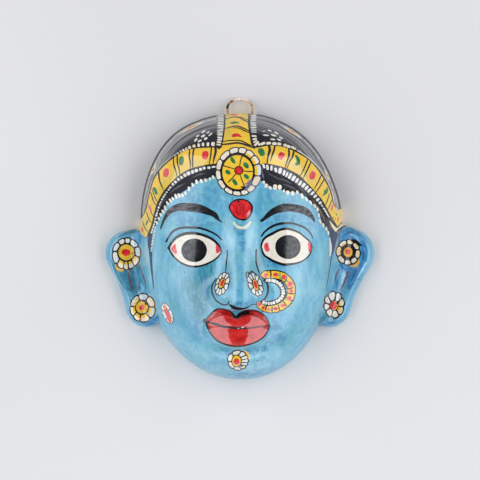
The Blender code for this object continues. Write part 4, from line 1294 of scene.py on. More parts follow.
def triangulate(base, canvas, grid, cut=None):
    """Triangles that fill the base outline, less the cut, and follow each painted one, with their paints."""
    outlines = [base] + ([] if cut is None else [cut]) + canvas.outlines
    first = len(outlines) - len(canvas.outlines)
    held = np.vstack(outlines)
    grid = clear_of(grid, held, GRID_CLEARANCE)
    ends = np.cumsum([len(outline) for outline in outlines])
    faces = [list(range(end - len(outline), end)) for end, outline in zip(ends, outlines)]
    points = [Vector(point) for point in np.vstack([held, grid]) / MM]
    found, _, triangles, _, _, owners = delaunay_2d_cdt(points, [], faces, 1, SNAP_DISTANCE, True)
    paints = ["skin"] * first + canvas.paints
    kept = [k for k, owner in enumerate(owners) if 0 in owner and (first == 1 or 1 not in owner)]
    places = np.array([tuple(point) for point in found]) * MM
    triangles = np.array([triangles[k] for k in kept])
    used, numbers = np.unique(triangles, return_inverse=True)
    return places[used], numbers.reshape(-1, 3), [paints[max(owners[k])] for k in kept]


def boundary(triangles, paints):
    """Points round the edge of these triangles, counter-clockwise, and the paint next to each step."""
    steps = {}
    for triangle, paint in zip(triangles, paints):
        for k in range(3):
            steps[triangle[k - 1], triangle[k]] = paint
    following = {start: (end, paint) for (start, end), paint in steps.items() if (end, start) not in steps}
    start = min(following)
    ring, ring_paints = [start], []
    while True:
        after, paint = following[ring[-1]]
        ring_paints.append(paint)
        if after == start:
            return np.array(ring), ring_paints
        ring.append(after)


def unit(vectors):
    return vectors / np.maximum(1e-12, np.linalg.norm(vectors, axis=-1, keepdims=True))


class Shell:
    """Collects the faces of one closed piece, with a paint for each and a normal for each of its corners."""

    def __init__(self, points):
        self.points = [points]
        self.count = len(points)
        self.faces, self.paints, self.normals = [], [], []

    def add_points(self, points):
        self.points.append(points)
        self.count += len(points)
        return np.arange(self.count - len(points), self.count)

    def add_faces(self, faces, paints, normals):
        self.faces += [list(map(int, face)) for face in faces]
        self.paints += [paints] * len(faces) if isinstance(paints, str) else list(paints)
        self.normals.append(np.asarray(normals).reshape(-1, 3))

    def add_strip(self, first, second, paints, first_normals, second_normals):
        """Faces between two rings, seen from outside as the first above the second."""
        faces = np.stack([first, second, np.roll(second, -1), np.roll(first, -1)], 1)
        next_normals = [np.roll(normals, -1, 0) for normals in (second_normals, first_normals)]
        self.add_faces(faces, paints, np.stack([first_normals, second_normals, *next_normals], 1))

    def build(self, name, shade):
        points = np.vstack(self.points)
        mesh = bpy.data.meshes.new(name)
        mesh.from_pydata(points.tolist(), [], self.faces)
        used = sorted(set(self.paints))
        for paint in used:
            mesh.materials.append(PAINTS[paint])
        slots = {paint: k for k, paint in enumerate(used)}
        mesh.polygons.foreach_set("material_index", [slots[paint] for paint in self.paints])
        mesh.polygons.foreach_set("use_smooth", [True] * len(self.faces))
        mesh.normals_split_custom_set(np.vstack(self.normals).tolist())
        shades = mesh.attributes.new("shade", "FLOAT_COLOR", "POINT")
        shades.data.foreach_set("color", shade(points).ravel())
        piece = add_object(name, mesh)
        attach(piece, "root")
        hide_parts("mask")
        return piece


def head_normals(flat_x, flat_y):
    """Normals of the head's surface at places of the unrolled dome, those at its edge from just inside it."""
    step = HEAD_SLOPE_STEP
    limit = head_reach(np.arctan2(flat_y, flat_x)) * UNROLLED[-1] - 3 * step
    inside = np.minimum(1, limit / np.maximum(1e-9, np.hypot(flat_x, flat_y)))

    def surface(move_x, move_y):
        x, y, share = roll(flat_x * inside + move_x, flat_y * inside + move_y)
        return np.stack([x, y, face_height(x, y, share)], -1)

    return unit(np.cross(surface(step, 0) - surface(-step, 0), surface(0, step) - surface(0, -step)))


def ear_normals(side, x, y):
    step = EAR_SLOPE_STEP
    rise_x = ear_height(side, x + step, y) - ear_height(side, x - step, y)
    rise_y = ear_height(side, x, y + step) - ear_height(side, x, y - step)
    depth = ear_depth(side, x, y)[0]
    edge_x = ear_depth(side, x + step, y)[0] - ear_depth(side, x - step, y)[0]
    edge_y = ear_depth(side, x, y + step)[0] - ear_depth(side, x, y - step)[0]
    front = np.stack([-rise_x, -rise_y, np.full(np.shape(x), 2 * step)], -1)
    out = np.stack([-edge_x, -edge_y, np.zeros(np.shape(x))], -1)
    return unit(np.where((depth < EAR_WALL_DEPTH)[..., None], out, front))


DOWN = np.array([0.0, 0.0, -1.0])


def add_head():
    canvas = Canvas(lambda pixels: unroll(*project(pixels, head_height)))
    paint_all(canvas, HEAD_PAINTING)
    base = head_ring(UNROLLED[-1])
    grid = hex_points(base.min(0), base.max(0), COARSE_STEP)
    fine_low, fine_high = (np.array(corner) * MM for corner in FINE_BOX)
    coarse = np.any((grid < fine_low) | (grid > fine_high), axis=1)
    grid = np.vstack([grid[coarse], hex_points(fine_low, fine_high, FINE_STEP)])
    inside = np.hypot(grid[:, 0], grid[:, 1]) < head_reach(np.arctan2(grid[:, 1], grid[:, 0])) * UNROLLED[-1]
    places, triangles, paints = triangulate(base, canvas, grid[inside])
    x, y, share = roll(places[:, 0], places[:, 1])
    height = face_height(x, y, share)
    normals = head_normals(places[:, 0], places[:, 1])
    ring, ring_paints = boundary(triangles, paints)
    height[ring] = RIM_STRAIGHT
    normals[ring] = unit(normals[ring] * (1, 1, 0))

    shell = Shell(np.stack([x, y, height], 1))
    shell.add_faces(triangles, paints, normals[triangles])
    edge = np.stack([x[ring], y[ring], np.zeros(len(ring))], 1)
    foot = shell.add_points(edge)
    shell.add_strip(ring, foot, ring_paints, normals[ring], normals[ring])
    add_hollow(shell, foot, edge)
    return shell.build("painted_mask", head_shade)


def add_hollow(shell, foot, edge):
    """The flat back rim, inwards from the foot of the wall, and the bare hollow behind the face."""
    angle = np.arctan2(edge[:, 1] - MIDDLE_Y, edge[:, 0])
    inner = head_reach(angle, WALL)
    around = np.stack([np.cos(angle), np.sin(angle)], 1)
    shares = np.sin(np.linspace(math.pi / 2, HOLLOW_END, HOLLOW_RINGS)) ** (2 / SIDE_FULLNESS)
    rings = [np.column_stack([inner[:, None] * around + (0, MIDDLE_Y), np.zeros(len(edge))])]
    for at in shares:
        flat = (inner * at)[:, None] * around + (0, MIDDLE_Y)
        rings.append(np.column_stack([flat, hollow_height(flat[:, 0], flat[:, 1], at)]))
    numbers = [shell.add_points(points) for points in rings]
    down = np.tile(DOWN, (len(edge), 1))
    shell.add_strip(foot, numbers[0], "bare", down, down)
    grown = np.gradient(np.array(rings), axis=0)
    grown[0] = grown[1] = (0, 0, 1)
    sideways = np.roll(np.array(rings), -1, 1) - np.roll(np.array(rings), 1, 1)
    inward = unit(np.cross(grown, sideways))
    for k in range(len(rings) - 1):
        shell.add_strip(numbers[k], numbers[k + 1], "bare", inward[k], inward[k + 1])
    top = hollow_height(np.zeros(1), np.full(1, MIDDLE_Y), np.zeros(1))[0]
    pole = shell.add_points(np.array([[0, MIDDLE_Y, top]]))[0]
    last = numbers[-1]
    caps = np.stack([last, np.full(len(last), pole), np.roll(last, -1)], 1)
    shell.add_faces(caps, "bare", np.stack([inward[-1], down, np.roll(inward[-1], -1, 0)], 1))


def add_ear(name, side):
    canvas = Canvas(lambda pixels: project(pixels, lambda x, y: ear_height(side, x, y)))
    paint_all(canvas, EAR_PAINTING[side])
    base = ear_outline(side, EAR_OUTLINE_POINTS)
    cut = head_ring(EAR_ROOT, MIDDLE_Y)
    rings = [ear_outline(side, EAR_OUTLINE_POINTS, inset * MM) for inset in EAR_RINGS]
    grid = hex_points(base.min(0), base.max(0), COARSE_STEP)
    grid = grid[ear_depth(side, grid[:, 0], grid[:, 1])[0] > EAR_GRID_INSET]
    for ring in rings:
        canvas.outlines.insert(0, ring)
        canvas.paints.insert(0, "skin")
    places, triangles, paints = triangulate(base, canvas, grid, cut)
    x, y = places[:, 0], places[:, 1]
    height, normals = ear_height(side, x, y), ear_normals(side, x, y)
    shell = Shell(np.stack([x, y, height], 1))
    shell.add_faces(triangles, paints, normals[triangles])
    under_head = head_share(x, y)[1] < 1
    foot = shell.add_points(np.stack([x, y, np.where(under_head, UNDERSIDE_LIFT, 0)], 1))
    shell.add_faces(foot[triangles][:, ::-1], "bare", np.tile(DOWN, (3 * len(triangles), 1)))
    ring, ring_paints = boundary(triangles, paints)
    ahead = np.roll(shell.points[0][ring], -1, 0) - np.roll(shell.points[0][ring], 1, 0)
    out = unit(np.stack([ahead[:, 1], -ahead[:, 0], np.zeros(len(ring))], 1))
    shell.add_strip(ring, foot[ring], ring_paints, out, out)
    return shell.build(name, ear_shade)


def soft_patches(points, patches):
    """How far each point lies in soft patches of another colour."""
    total = np.zeros(len(points))
    for middle, reach, turn, strength in patches:
        x = points[:, 0] / PIXEL + PHOTO_SIDE / 2 - middle[0]
        y = (CAMERA_Y - points[:, 1]) / PIXEL + PHOTO_SIDE / 2 - middle[1]
        flat = turned(np.stack([x, y], 1), -turn) / np.array(reach)
        total += strength * np.exp(-np.sum(flat**2, axis=1) ** PATCH_FULLNESS)
    return np.clip(total, 0, 1)


# Soft changes of colour: middle and reach in pixels, turn and strength
TEAL_PATCHES = (
    ((204, 283), (8, 24), 4, 1.0), ((211, 267), (6, 9), -20, 0.6), ((193, 286), (12, 20), 6, 0.5),
    ((200, 306), (7, 15), 0, 0.8), ((260, 262), (4, 14), 0, 0.7), ((328, 262), (5, 34), 4, 0.5),
    ((186, 300), (20, 30), 0, 0.3), ((318, 330), (10, 26), 20, 0.4), ((335, 317), (9, 7), 0, 0.9),
    ((322, 205), (6, 16), -30, 0.5), ((123, 282), (8, 20), -24, 0.8), ((137, 284), (7, 14), -14, 0.5),
    ((228, 128), (3.5, 15), 0, 0.9), ((177, 174), (12, 3.5), -34, 0.8), ((200, 164), (14, 3.5), -8, 0.8),
    ((160, 192), (4, 14), 30, 0.8), ((150, 214), (4, 14), 16, 0.9), ((145, 228), (4, 8), 10, 0.6),
    ((296, 168), (14, 3), 28, 0.5), ((306, 178), (8, 3), 40, 0.5), ((248, 112), (6, 5), 0, 0.6),
    ((228, 113), (6, 4), 0, 0.7), ((333, 204), (4, 16), -16, 0.4),
)
# Darker patches: partly the paint's own tone, partly painted shade in the eye sockets, under the nose and the
# lower lip, in the mouth's corners, along the chin and under the ears' lobes
DEEP_AND_SHADE_PATCHES = (
    ((193, 223), (26, 7), 0, 0.8), ((288, 222), (26, 7), 0, 0.8), ((207, 286), (5, 12), 0, 0.4),
    ((204, 196), (34, 14), -16, 0.55), ((280, 202), (30, 13), 14, 0.4), ((236, 222), (12, 12), 0, 0.3),
    ((232, 283), (14, 12), 0, 0.2), ((276, 328), (7, 12), -14, 0.9), ((196, 318), (7, 12), 0, 0.8),
    ((268, 344), (9, 5), -28, 0.7), ((283, 338), (5, 8), -10, 0.5), ((250, 351), (15, 4), -5, 0.8),
    ((241, 302.5), (9.5, 3.5), 0, 1.0), ((236, 374), (24, 4), 0, 0.6), ((199, 330), (6, 8), 10, 0.6),
    ((273, 263), (10, 5), 0, 0.9), ((242, 238), (4, 14), 0, 0.8), ((222, 250), (4, 9), 0, 0.7),
    ((361, 262), (6.5, 24), 12, 1.2), ((352, 234), (13, 6), 12, 0.9), ((151, 321), (12, 5), -20, 1.1),
    ((225, 350), (12, 5), 20, 0.6), ((110, 250), (3, 16), 12, 0.35), ((134, 240), (14, 6), -16, 0.7),
    ((352, 276), (7, 12), 24, 0.9), ((336, 284), (3, 10), 14, 0.6), ((130, 279), (8, 19), -16, 0.9),
    ((240, 290), (2.5, 9), 0, 0.3), ((204, 288), (3, 14), 10, 0.5), ((314, 206), (7, 5), 40, 0.5),
    ((176, 214), (10, 3), -16, 0.4), ((251, 374), (20, 5), -14, 0.4), ((330, 318), (12, 5), 14, 0.8),
)
# Paler patches: partly lighter paint, partly painted highlights on the nose's bridge, the cheeks, the chin
# and the ears' rims
PALE_AND_HIGHLIGHT_PATCHES = (
    ((232, 238), (5, 11), -10, 1.0), ((250, 238), (5, 11), 10, 0.9), ((222, 196), (4, 10), -35, 0.9),
    ((254, 196), (4, 10), 35, 0.9), ((170, 276), (10, 26), 0, 0.6), ((302, 288), (13, 30), 0, 0.6),
    ((254, 366), (18, 8), -14, 0.9), ((219, 266), (4, 16), 8, 0.3), ((120, 262), (3, 30), -10, 0.5),
    ((157, 250), (5, 22), 4, 0.6), ((321, 250), (6, 20), -4, 0.7), ((241, 246), (5, 10), 0, 0.5),
    ((272, 354), (16, 10), -24, 0.9), ((204, 352), (16, 8), 24, 0.7), ((310, 282), (10, 20), 0, 0.5),
    ((208, 304), (4, 10), -20, 0.7), ((178, 338), (10, 16), -30, 0.5), ((258, 352), (10, 6), -25, 0.5),
    ((236, 276), (4, 14), 0, 0.2), ((232, 292), (6, 8), 0, 0.4), ((147, 262), (4, 28), -6, 0.7),
    ((339, 262), (5, 26), 10, 0.6), ((370, 262), (4, 24), 16, 0.7), ((342, 300), (6, 10), 20, 0.4),
    ((292, 164), (18, 4), 24, 0.7), ((276, 159), (8, 4), 8, 0.6), ((310, 180), (12, 4), 44, 0.7),
    ((168, 176), (6, 10), 30, 0.5), ((126, 300), (5, 16), -24, 0.5), ((212, 220), (10, 3), 20, 0.4),
    ((220, 372), (14, 6), 14, 0.5),
)


def painted_shade(points, wall):
    shades = [soft_patches(points, patches) for patches in (TEAL_PATCHES, DEEP_AND_SHADE_PATCHES, PALE_AND_HIGHLIGHT_PATCHES)]
    return np.stack([*shades, wall], 1)


def head_shade(points):
    share = head_share(points[:, 0], points[:, 1])[1]
    return painted_shade(points, np.clip(share, 0, 1))


def ear_shade(points):
    return painted_shade(points, np.ones(len(points)))


class Mix:
    """Builds one paint: its tone, laid on layer by layer, its brush marks and its gloss."""

    def __init__(self, name, roughness, coat=1.0, coat_roughness=0.05):
        self.material = bpy.data.materials.new(name)
        self.material.use_nodes = True
        self.tree = self.material.node_tree
        self.shader = self.tree.nodes["Principled BSDF"]
        self.set(self.shader, {"Roughness": roughness, "Coat Weight": coat, "Coat Roughness": coat_roughness})
        self.tone = None

    def put(self, socket, value):
        if isinstance(value, bpy.types.NodeSocket):
            self.tree.links.new(value, socket)
        else:
            socket.default_value = value

    def set(self, node, values):
        for name, value in values.items():
            self.put(node.inputs[name], value)

    def node(self, kind, values=None, **settings):
        made = self.tree.nodes.new(kind)
        for name, value in settings.items():
            setattr(made, name, value)
        self.set(made, values or {})
        return made

    def noise(self, scale, stretch=(1, 1, 1), turn=(0, 0, 0), detail=3.0, roughness=0.55):
        place = self.node("ShaderNodeTexCoord").outputs["Object"]
        turned_place = self.node("ShaderNodeMapping", {"Vector": place, "Rotation": turn, "Scale": stretch})
        values = {"Vector": turned_place.outputs[0], "Scale": scale, "Detail": detail, "Roughness": roughness}
        return self.node("ShaderNodeTexNoise", values).outputs["Fac"]

    def ring_noise(self, share, across, along, detail=3.0):
        """Noise in long streaks that follow the head's outline."""
        place = self.node("ShaderNodeTexCoord").outputs["Object"]
        parts = self.node("ShaderNodeSeparateXYZ", {"Vector": place}).outputs
        spread = {name: self.times(part, along) for name, part in zip("YZ", parts)}
        vector = self.node("ShaderNodeCombineXYZ", {"X": self.times(share, across), **spread}).outputs[0]
        values = {"Vector": vector, "Scale": 1.0, "Detail": detail}
        return self.node("ShaderNodeTexNoise", values).outputs["Fac"]

    def shades(self):
        """The shade attribute's parts: teal, darker with painted shade, lighter with painted highlight, and
        nearness to the outline.
        """
        shade = self.node("ShaderNodeAttribute", attribute_name="shade")
        parts = self.node("ShaderNodeSeparateColor", {"Color": shade.outputs["Color"]}).outputs
        return parts[0], parts[1], parts[2], shade.outputs["Alpha"]

    def ramp(self, value, low, high, least=0.0, most=1.0):
        values = {"Value": value, "From Min": low, "From Max": high, "To Min": least, "To Max": most}
        return self.node("ShaderNodeMapRange", values, interpolation_type="SMOOTHSTEP").outputs[0]

    def times(self, first, second):
        made = self.node("ShaderNodeMath", operation="MULTIPLY")
        self.put(made.inputs[0], first)
        self.put(made.inputs[1], second)
        return made.outputs[0]

    def blend(self, share, first, second):
        """One colour over another. Its colour sockets share their names with others, so they go by number."""
        made = self.node("ShaderNodeMix", data_type="RGBA")
        for socket, value in ((0, share), (6, first), (7, second)):
            self.put(made.inputs[socket], value)
        return made.outputs[2]

    def layer(self, share, *levels):
        """This share of a colour over the tone so far."""
        self.tone = self.blend(share, self.tone, colour(*levels))

    def bump(self, height, depth, **below):
        return self.node("ShaderNodeBump", {"Height": height, "Distance": depth, **below}).outputs[0]

    def varnish(self, marks, depth):
        """Brush marks of the paint that show in its glossy varnish, which itself is a little wavy."""
        waves = self.bump(self.noise(WAVES_SCALE, detail=1.0), VARNISH_WAVES)
        normal = self.bump(marks, depth, Normal=waves)
        self.set(self.shader, {"Normal": normal, "Coat Normal": normal, "Coat IOR": VARNISH_IOR})
        self.set(self.shader, {"Specular IOR Level": PAINT_SPECULAR})

    def thin_varnish(self, marks, least):
        """Varnish that sank in unevenly, so that its gloss is patchy."""
        self.set(self.shader, {"Coat Weight": self.ramp(marks, 0.36, 0.62, least, 1.0)})

    def finish(self, **values):
        self.set(self.shader, {"Base Color": self.tone, **values})
        return self.material


def colour(*levels):
    """A paint's colour from its red, green and blue as they look on a screen, 0 to 255."""
    screen = np.array(levels) / 255
    return (*np.where(screen <= 0.04045, screen / 12.92, ((screen + 0.055) / 1.055) ** 2.4), 1)


def plain_paint(
    name, main, lighter, darker, stretch=(1, 1, 1), turn=(0, 0, 0), gloss=0.05, depth=0.012, coat=1.0,
    patchy=False,
):
    """A flat folk paint with uneven cover and soft brush streaks."""
    mix = Mix(name, 0.5, coat, gloss)
    streaks = mix.noise(1100, stretch, turn)
    cover = mix.ramp(mix.noise(300, detail=4.0), 0.4, 0.7, 0, 0.7)
    mix.tone = mix.blend(mix.ramp(streaks, 0.38, 0.66), colour(*main), colour(*lighter))
    mix.layer(cover, *darker)
    mix.varnish(streaks, depth * MM)
    if patchy:
        mix.thin_varnish(mix.noise(500, stretch, turn, detail=4.0), 0.6 * coat)
    return mix.finish()


def skin_paint():
    mix = Mix("skin_blue", 0.5, coat_roughness=0.24)
    teal, deep_and_shade, pale, wall = mix.shades()
    fine = mix.noise(1000, (1.0, 0.14, 1.0), (0, 0, 0.12), detail=4.0)
    broad = mix.noise(330, (1.0, 0.3, 1.0), (0, 0, -0.3), detail=5.0)
    mottled = mix.noise(130, detail=5.0, roughness=0.6)
    dabbed = mix.noise(420)
    mix.tone = mix.blend(mix.ramp(broad, 0.4, 0.62), colour(90, 172, 205), colour(114, 190, 218))
    mix.layer(mix.ramp(mottled, 0.46, 0.62, 0, 0.8), 108, 188, 198)
    mix.layer(mix.ramp(fine, 0.54, 0.68, 0, 0.6), 142, 204, 226)
    mix.layer(mix.ramp(dabbed, 0.58, 0.68, 0, 0.55), 70, 158, 198)
    streaked = mix.ramp(fine, 0.38, 0.54, 0.3, 1.0)
    brushed = mix.ramp(broad, 0.38, 0.56, 0.4, 1.0)
    patted = mix.ramp(dabbed, 0.42, 0.54, 0.25, 1.0)
    # Paler patches, partly painted highlights
    mix.layer(mix.times(pale, brushed), 148, 210, 230)
    mix.layer(mix.times(teal, streaked), 50, 134, 150)
    # Darker patches, partly painted shade
    mix.layer(mix.times(deep_and_shade, patted), 40, 137, 178)
    # Darker blue towards the steep wall at the outline: painted shade
    mix.layer(mix.times(mix.ramp(wall, 0.93, 1.0, 0, 0.5), brushed), 90, 164, 204)
    specks = mix.ramp(mix.noise(620, detail=1.0), 0.735, 0.765, 0, 0.8)
    mix.layer(specks, 40, 92, 132)
    mix.varnish(mix.blend(0.5, fine, broad), 0.06 * MM)
    return mix.finish()


def hair_paint():
    mix = Mix("hair_black", 0.5, coat_roughness=0.2)
    wall = mix.shades()[3]
    streaks = mix.ring_noise(wall, 170, 30)
    wide = mix.ring_noise(wall, 44, 20)
    mix.tone = mix.blend(mix.ramp(streaks, 0.35, 0.7), colour(24, 24, 29), colour(50, 50, 57))
    # Grey towards the outline is painted sheen, the varnish's reflection of the lights, with pale dry brush
    # streaks over it
    brushed = mix.times(mix.ramp(wall, 0.80, 0.97), mix.ramp(wide, 0.36, 0.58, 0.3, 1.0))
    mix.layer(mix.times(brushed, 0.95), 146, 145, 146)
    mix.layer(mix.times(brushed, mix.ramp(streaks, 0.5, 0.62, 0, 0.8)), 208, 206, 203)
    edge = mix.ramp(wall, 0.98, 0.99)
    mix.layer(edge, 26, 26, 30)
    patchy = mix.ramp(mix.ring_noise(wall, 120, 150, 4.0), 0.34, 0.62, 0.2, 0.7)
    thin = mix.times(mix.ramp(wall, 0.77, 0.87, 0.15, 1.0), mix.ramp(edge, 0.0, 1.0, 1.0, 0.2))
    mix.set(mix.shader, {"Coat Weight": mix.times(patchy, thin)})
    mix.varnish(streaks, 0.04 * MM)
    return mix.finish()


def yellow_paint():
    mix = Mix("tiara_yellow", 0.5, 0.85, 0.07)
    teal, _, pale, _ = mix.shades()
    streaks = mix.noise(1000, (1.0, 0.3, 1.0), detail=4.0)
    cover = mix.noise(260, detail=5.0, roughness=0.6)
    mix.tone = mix.blend(mix.ramp(cover, 0.35, 0.68), colour(255, 200, 26), colour(255, 208, 54))
    mix.layer(mix.ramp(streaks, 0.45, 0.68, 0, 0.6), 255, 220, 92)
    mix.layer(mix.times(pale, mix.ramp(cover, 0.3, 0.6, 0.4, 0.9)), 254, 224, 130)
    mix.layer(mix.times(teal, mix.ramp(streaks, 0.38, 0.6, 0.35, 0.85)), 206, 196, 98)
    mix.varnish(streaks, 0.02 * MM)
    return mix.finish()


def bare_paste():
    mix = Mix("bare_paste", 0.85, 0.0, 0.5)
    grain = mix.noise(900, detail=6.0, roughness=0.7)
    patchy = mix.noise(90, detail=4.0)
    mix.tone = mix.blend(mix.ramp(patchy, 0.35, 0.65), colour(178, 142, 100), colour(150, 112, 74))
    mix.layer(mix.ramp(grain, 0.55, 0.75, 0, 0.6), 112, 80, 52)
    return mix.finish(Normal=mix.bump(grain, 0.25 * MM))


def twine_fibre():
    mix = Mix("twine_fibre", 0.8, 0.1, 0.4)
    fibres = mix.noise(1500, (1.0, 0.3, 1.0), detail=4.0)
    cream, black = mix.shades()[:2]
    mix.tone = mix.blend(mix.ramp(fibres, 0.35, 0.7), colour(184, 132, 88), colour(232, 196, 148))
    mix.layer(cream, 252, 240, 232)
    mix.layer(black, 36, 28, 28)
    return mix.finish(Normal=mix.bump(fibres, 0.08 * MM))


def make_paints():
    upright, steep = (1.0, 0.25, 1.0), (1.0, 0.2, 1.0)
    return {
        "skin": skin_paint(),
        "hair": hair_paint(),
        "black": plain_paint("line_black", (14, 14, 18), (30, 30, 36), (8, 8, 11), coat=0.75),
        "shaded_black": plain_paint(
            "nose_shadow", (12, 12, 16), (22, 22, 27), (8, 8, 11), gloss=0.4, coat=0.1,
        ),
        "pupil": plain_paint(
            "pupil_black", (12, 13, 17), (24, 26, 32), (8, 8, 11), gloss=0.09, depth=0.03, patchy=True,
        ),
        "brow_black": plain_paint(
            "brow_black", (14, 15, 20), (40, 41, 50), (8, 8, 11), (0.4, 1.3, 1.0), gloss=0.16, depth=0.06,
            coat=0.5, patchy=True,
        ),
        "slate": plain_paint("slate_line", (104, 110, 136), (132, 136, 156), (74, 78, 98)),
        "hair_grey": plain_paint("hair_grey", (66, 66, 73), (92, 92, 99), (38, 38, 44), coat=0.3),
        "hair_brown": plain_paint("hair_brown", (104, 92, 74), (140, 130, 104), (60, 54, 48), coat=0.3),
        "rim_grey": plain_paint("rim_grey", (168, 164, 156), (198, 194, 184), (120, 118, 116)),
        "column_grey": plain_paint("column_grey", (120, 122, 114), (146, 148, 140), (84, 86, 82)),
        "navy": plain_paint("sideburn_navy", (26, 58, 86), (44, 84, 118), (18, 30, 46), upright, coat=0.6),
        "yellow": yellow_paint(),
        "ochre": plain_paint("flower_ochre", (242, 190, 50), (250, 208, 84), (206, 178, 50), coat=0.4),
        "orange": plain_paint("spill_orange", (248, 182, 48), (252, 204, 92), (226, 150, 30), coat=0.4),
        "olive": plain_paint("ring_olive", (150, 172, 60), (190, 196, 90), (104, 140, 60)),
        "red": plain_paint(
            "dot_red", (226, 34, 40), (244, 60, 62), (188, 20, 26), upright, (0, 0, 0.3), coat=0.7,
        ),
        "deep_red": plain_paint("bindi_shadow", (184, 26, 28), (206, 36, 36), (146, 18, 20), upright),
        "petal_pink": plain_paint("bindi_highlight", (246, 168, 170), (252, 200, 200), (238, 130, 134)),
        "rose": plain_paint("dot_rose", (240, 72, 84), (250, 112, 124), (222, 44, 52)),
        "lip_red": plain_paint("lip_red", (214, 30, 30), (230, 54, 46), (170, 16, 20), (0.4, 1.0, 1.0)),
        "green": plain_paint("leaf_green", (18, 120, 66), (44, 146, 80), (10, 86, 48), coat=0.7),
        "cream": plain_paint("petal_cream", (248, 238, 216), (252, 246, 234), (240, 218, 180)),
        "white": plain_paint("bead_white", (244, 242, 234), (250, 249, 244), (222, 216, 200)),
        "cold": plain_paint("petal_cold", (212, 228, 226), (238, 244, 240), (172, 200, 206)),
        # Pale blue for brush marks and painted highlights on the ears and the jaw
        "sky": plain_paint("ear_highlight", (134, 198, 226), (160, 214, 236), (104, 176, 212), upright),
        "cup_teal": plain_paint(
            "ear_teal", (58, 138, 164), (76, 156, 182), (40, 112, 132), steep, (0, 0, 0.3), 0.3, coat=0.4,
        ),
        "cup_blue": plain_paint(
            "ear_blue", (58, 138, 190), (84, 162, 208), (38, 108, 160), steep, (0, 0, -0.4), 0.3, coat=0.4,
        ),
        "cup_deep": plain_paint(
            "ear_deep_blue", (40, 110, 164), (58, 138, 190), (28, 84, 132), steep, gloss=0.3, coat=0.4,
        ),
        "warm": plain_paint("petal_warm", (248, 230, 184), (254, 242, 214), (240, 212, 146)),
        "pearl": plain_paint("faded_bead", (216, 214, 204), (238, 236, 228), (176, 176, 168)),
        "bone": plain_paint("crescent_bone", (232, 230, 206), (244, 242, 224), (212, 208, 176)),
        "eye_white": plain_paint("eye_white", (246, 238, 220), (250, 246, 234), (236, 222, 194)),
        "brown": plain_paint("line_brown", (126, 62, 68), (156, 92, 96), (92, 50, 56)),
        "bare": bare_paste(),
    }


def socket_place(side):
    """Middle of the crown's outer wall where one end of the loop goes in."""
    angle = math.acos(side * LOOP_HALF_WIDTH / head_reach(np.array(math.pi / 2), swelling=0.0))
    reach = head_reach(np.array(angle), swelling=0.0)
    return np.array([side * LOOP_HALF_WIDTH, MIDDLE_Y + reach * math.sin(angle), SOCKET_HEIGHT])


def loop_points():
    """The twine's own line: out of the left socket, round and into the right one."""
    left, right = socket_place(-1), socket_place(1)
    inside = np.array([0, SOCKET_DEPTH - TWINE_CLEARANCE, 0])
    lying = TWINE / 2 + LOOP_CLEAR
    crown = (left[1] + right[1]) / 2
    places = [  # across, out and height
        (-1.06, 0.34, 0.92 * SOCKET_HEIGHT),
        (-0.96, 0.64, 0.70 * SOCKET_HEIGHT),
        (-0.64, 0.88, 0.44 * SOCKET_HEIGHT),
        (-0.12, 1.00, lying),
        (0.42, 0.96, lying),
        (0.84, 0.74, 0.52 * SOCKET_HEIGHT),
        (1.03, 0.40, 0.82 * SOCKET_HEIGHT),
    ]
    middle = [(across * LOOP_HALF_WIDTH, crown + out * LOOP_RISE, height) for across, out, height in places]
    route = np.array([left - inside, left, *middle, right, right - inside])
    ends = np.vstack([2 * route[0] - route[1], route, 2 * route[-1] - route[-2]])
    at = np.linspace(0, len(route) - 1, LOOP_STEPS)
    start = np.minimum(at.astype(int), len(route) - 2)
    return between(*(ends[start + k] for k in range(4)), (at - start)[:, None])


def twine_shade(points, foot):
    """How far cream and black paint touched each point of the twine, whose ends lie at foot."""
    across, up = points[:, 0] / LOOP_HALF_WIDTH, (points[:, 1] - foot) / LOOP_RISE
    cream = np.clip((up - 1.0) * 4, 0, 1) * np.clip(1.6 - np.abs(across - 0.1) * 1.6, 0, 1)
    black = np.zeros(len(points))
    for middle_across, middle_up, wide, high in ((-1.08, 0.9, 0.3, 0.17), (-0.66, 1.2, 0.12, 0.09)):
        black += np.exp(-(((across - middle_across) / wide) ** 2 + ((up - middle_up) / high) ** 2))
    return np.stack([cream, np.minimum(1, 1.3 * black), 0 * cream, 0 * cream + 1], 1)


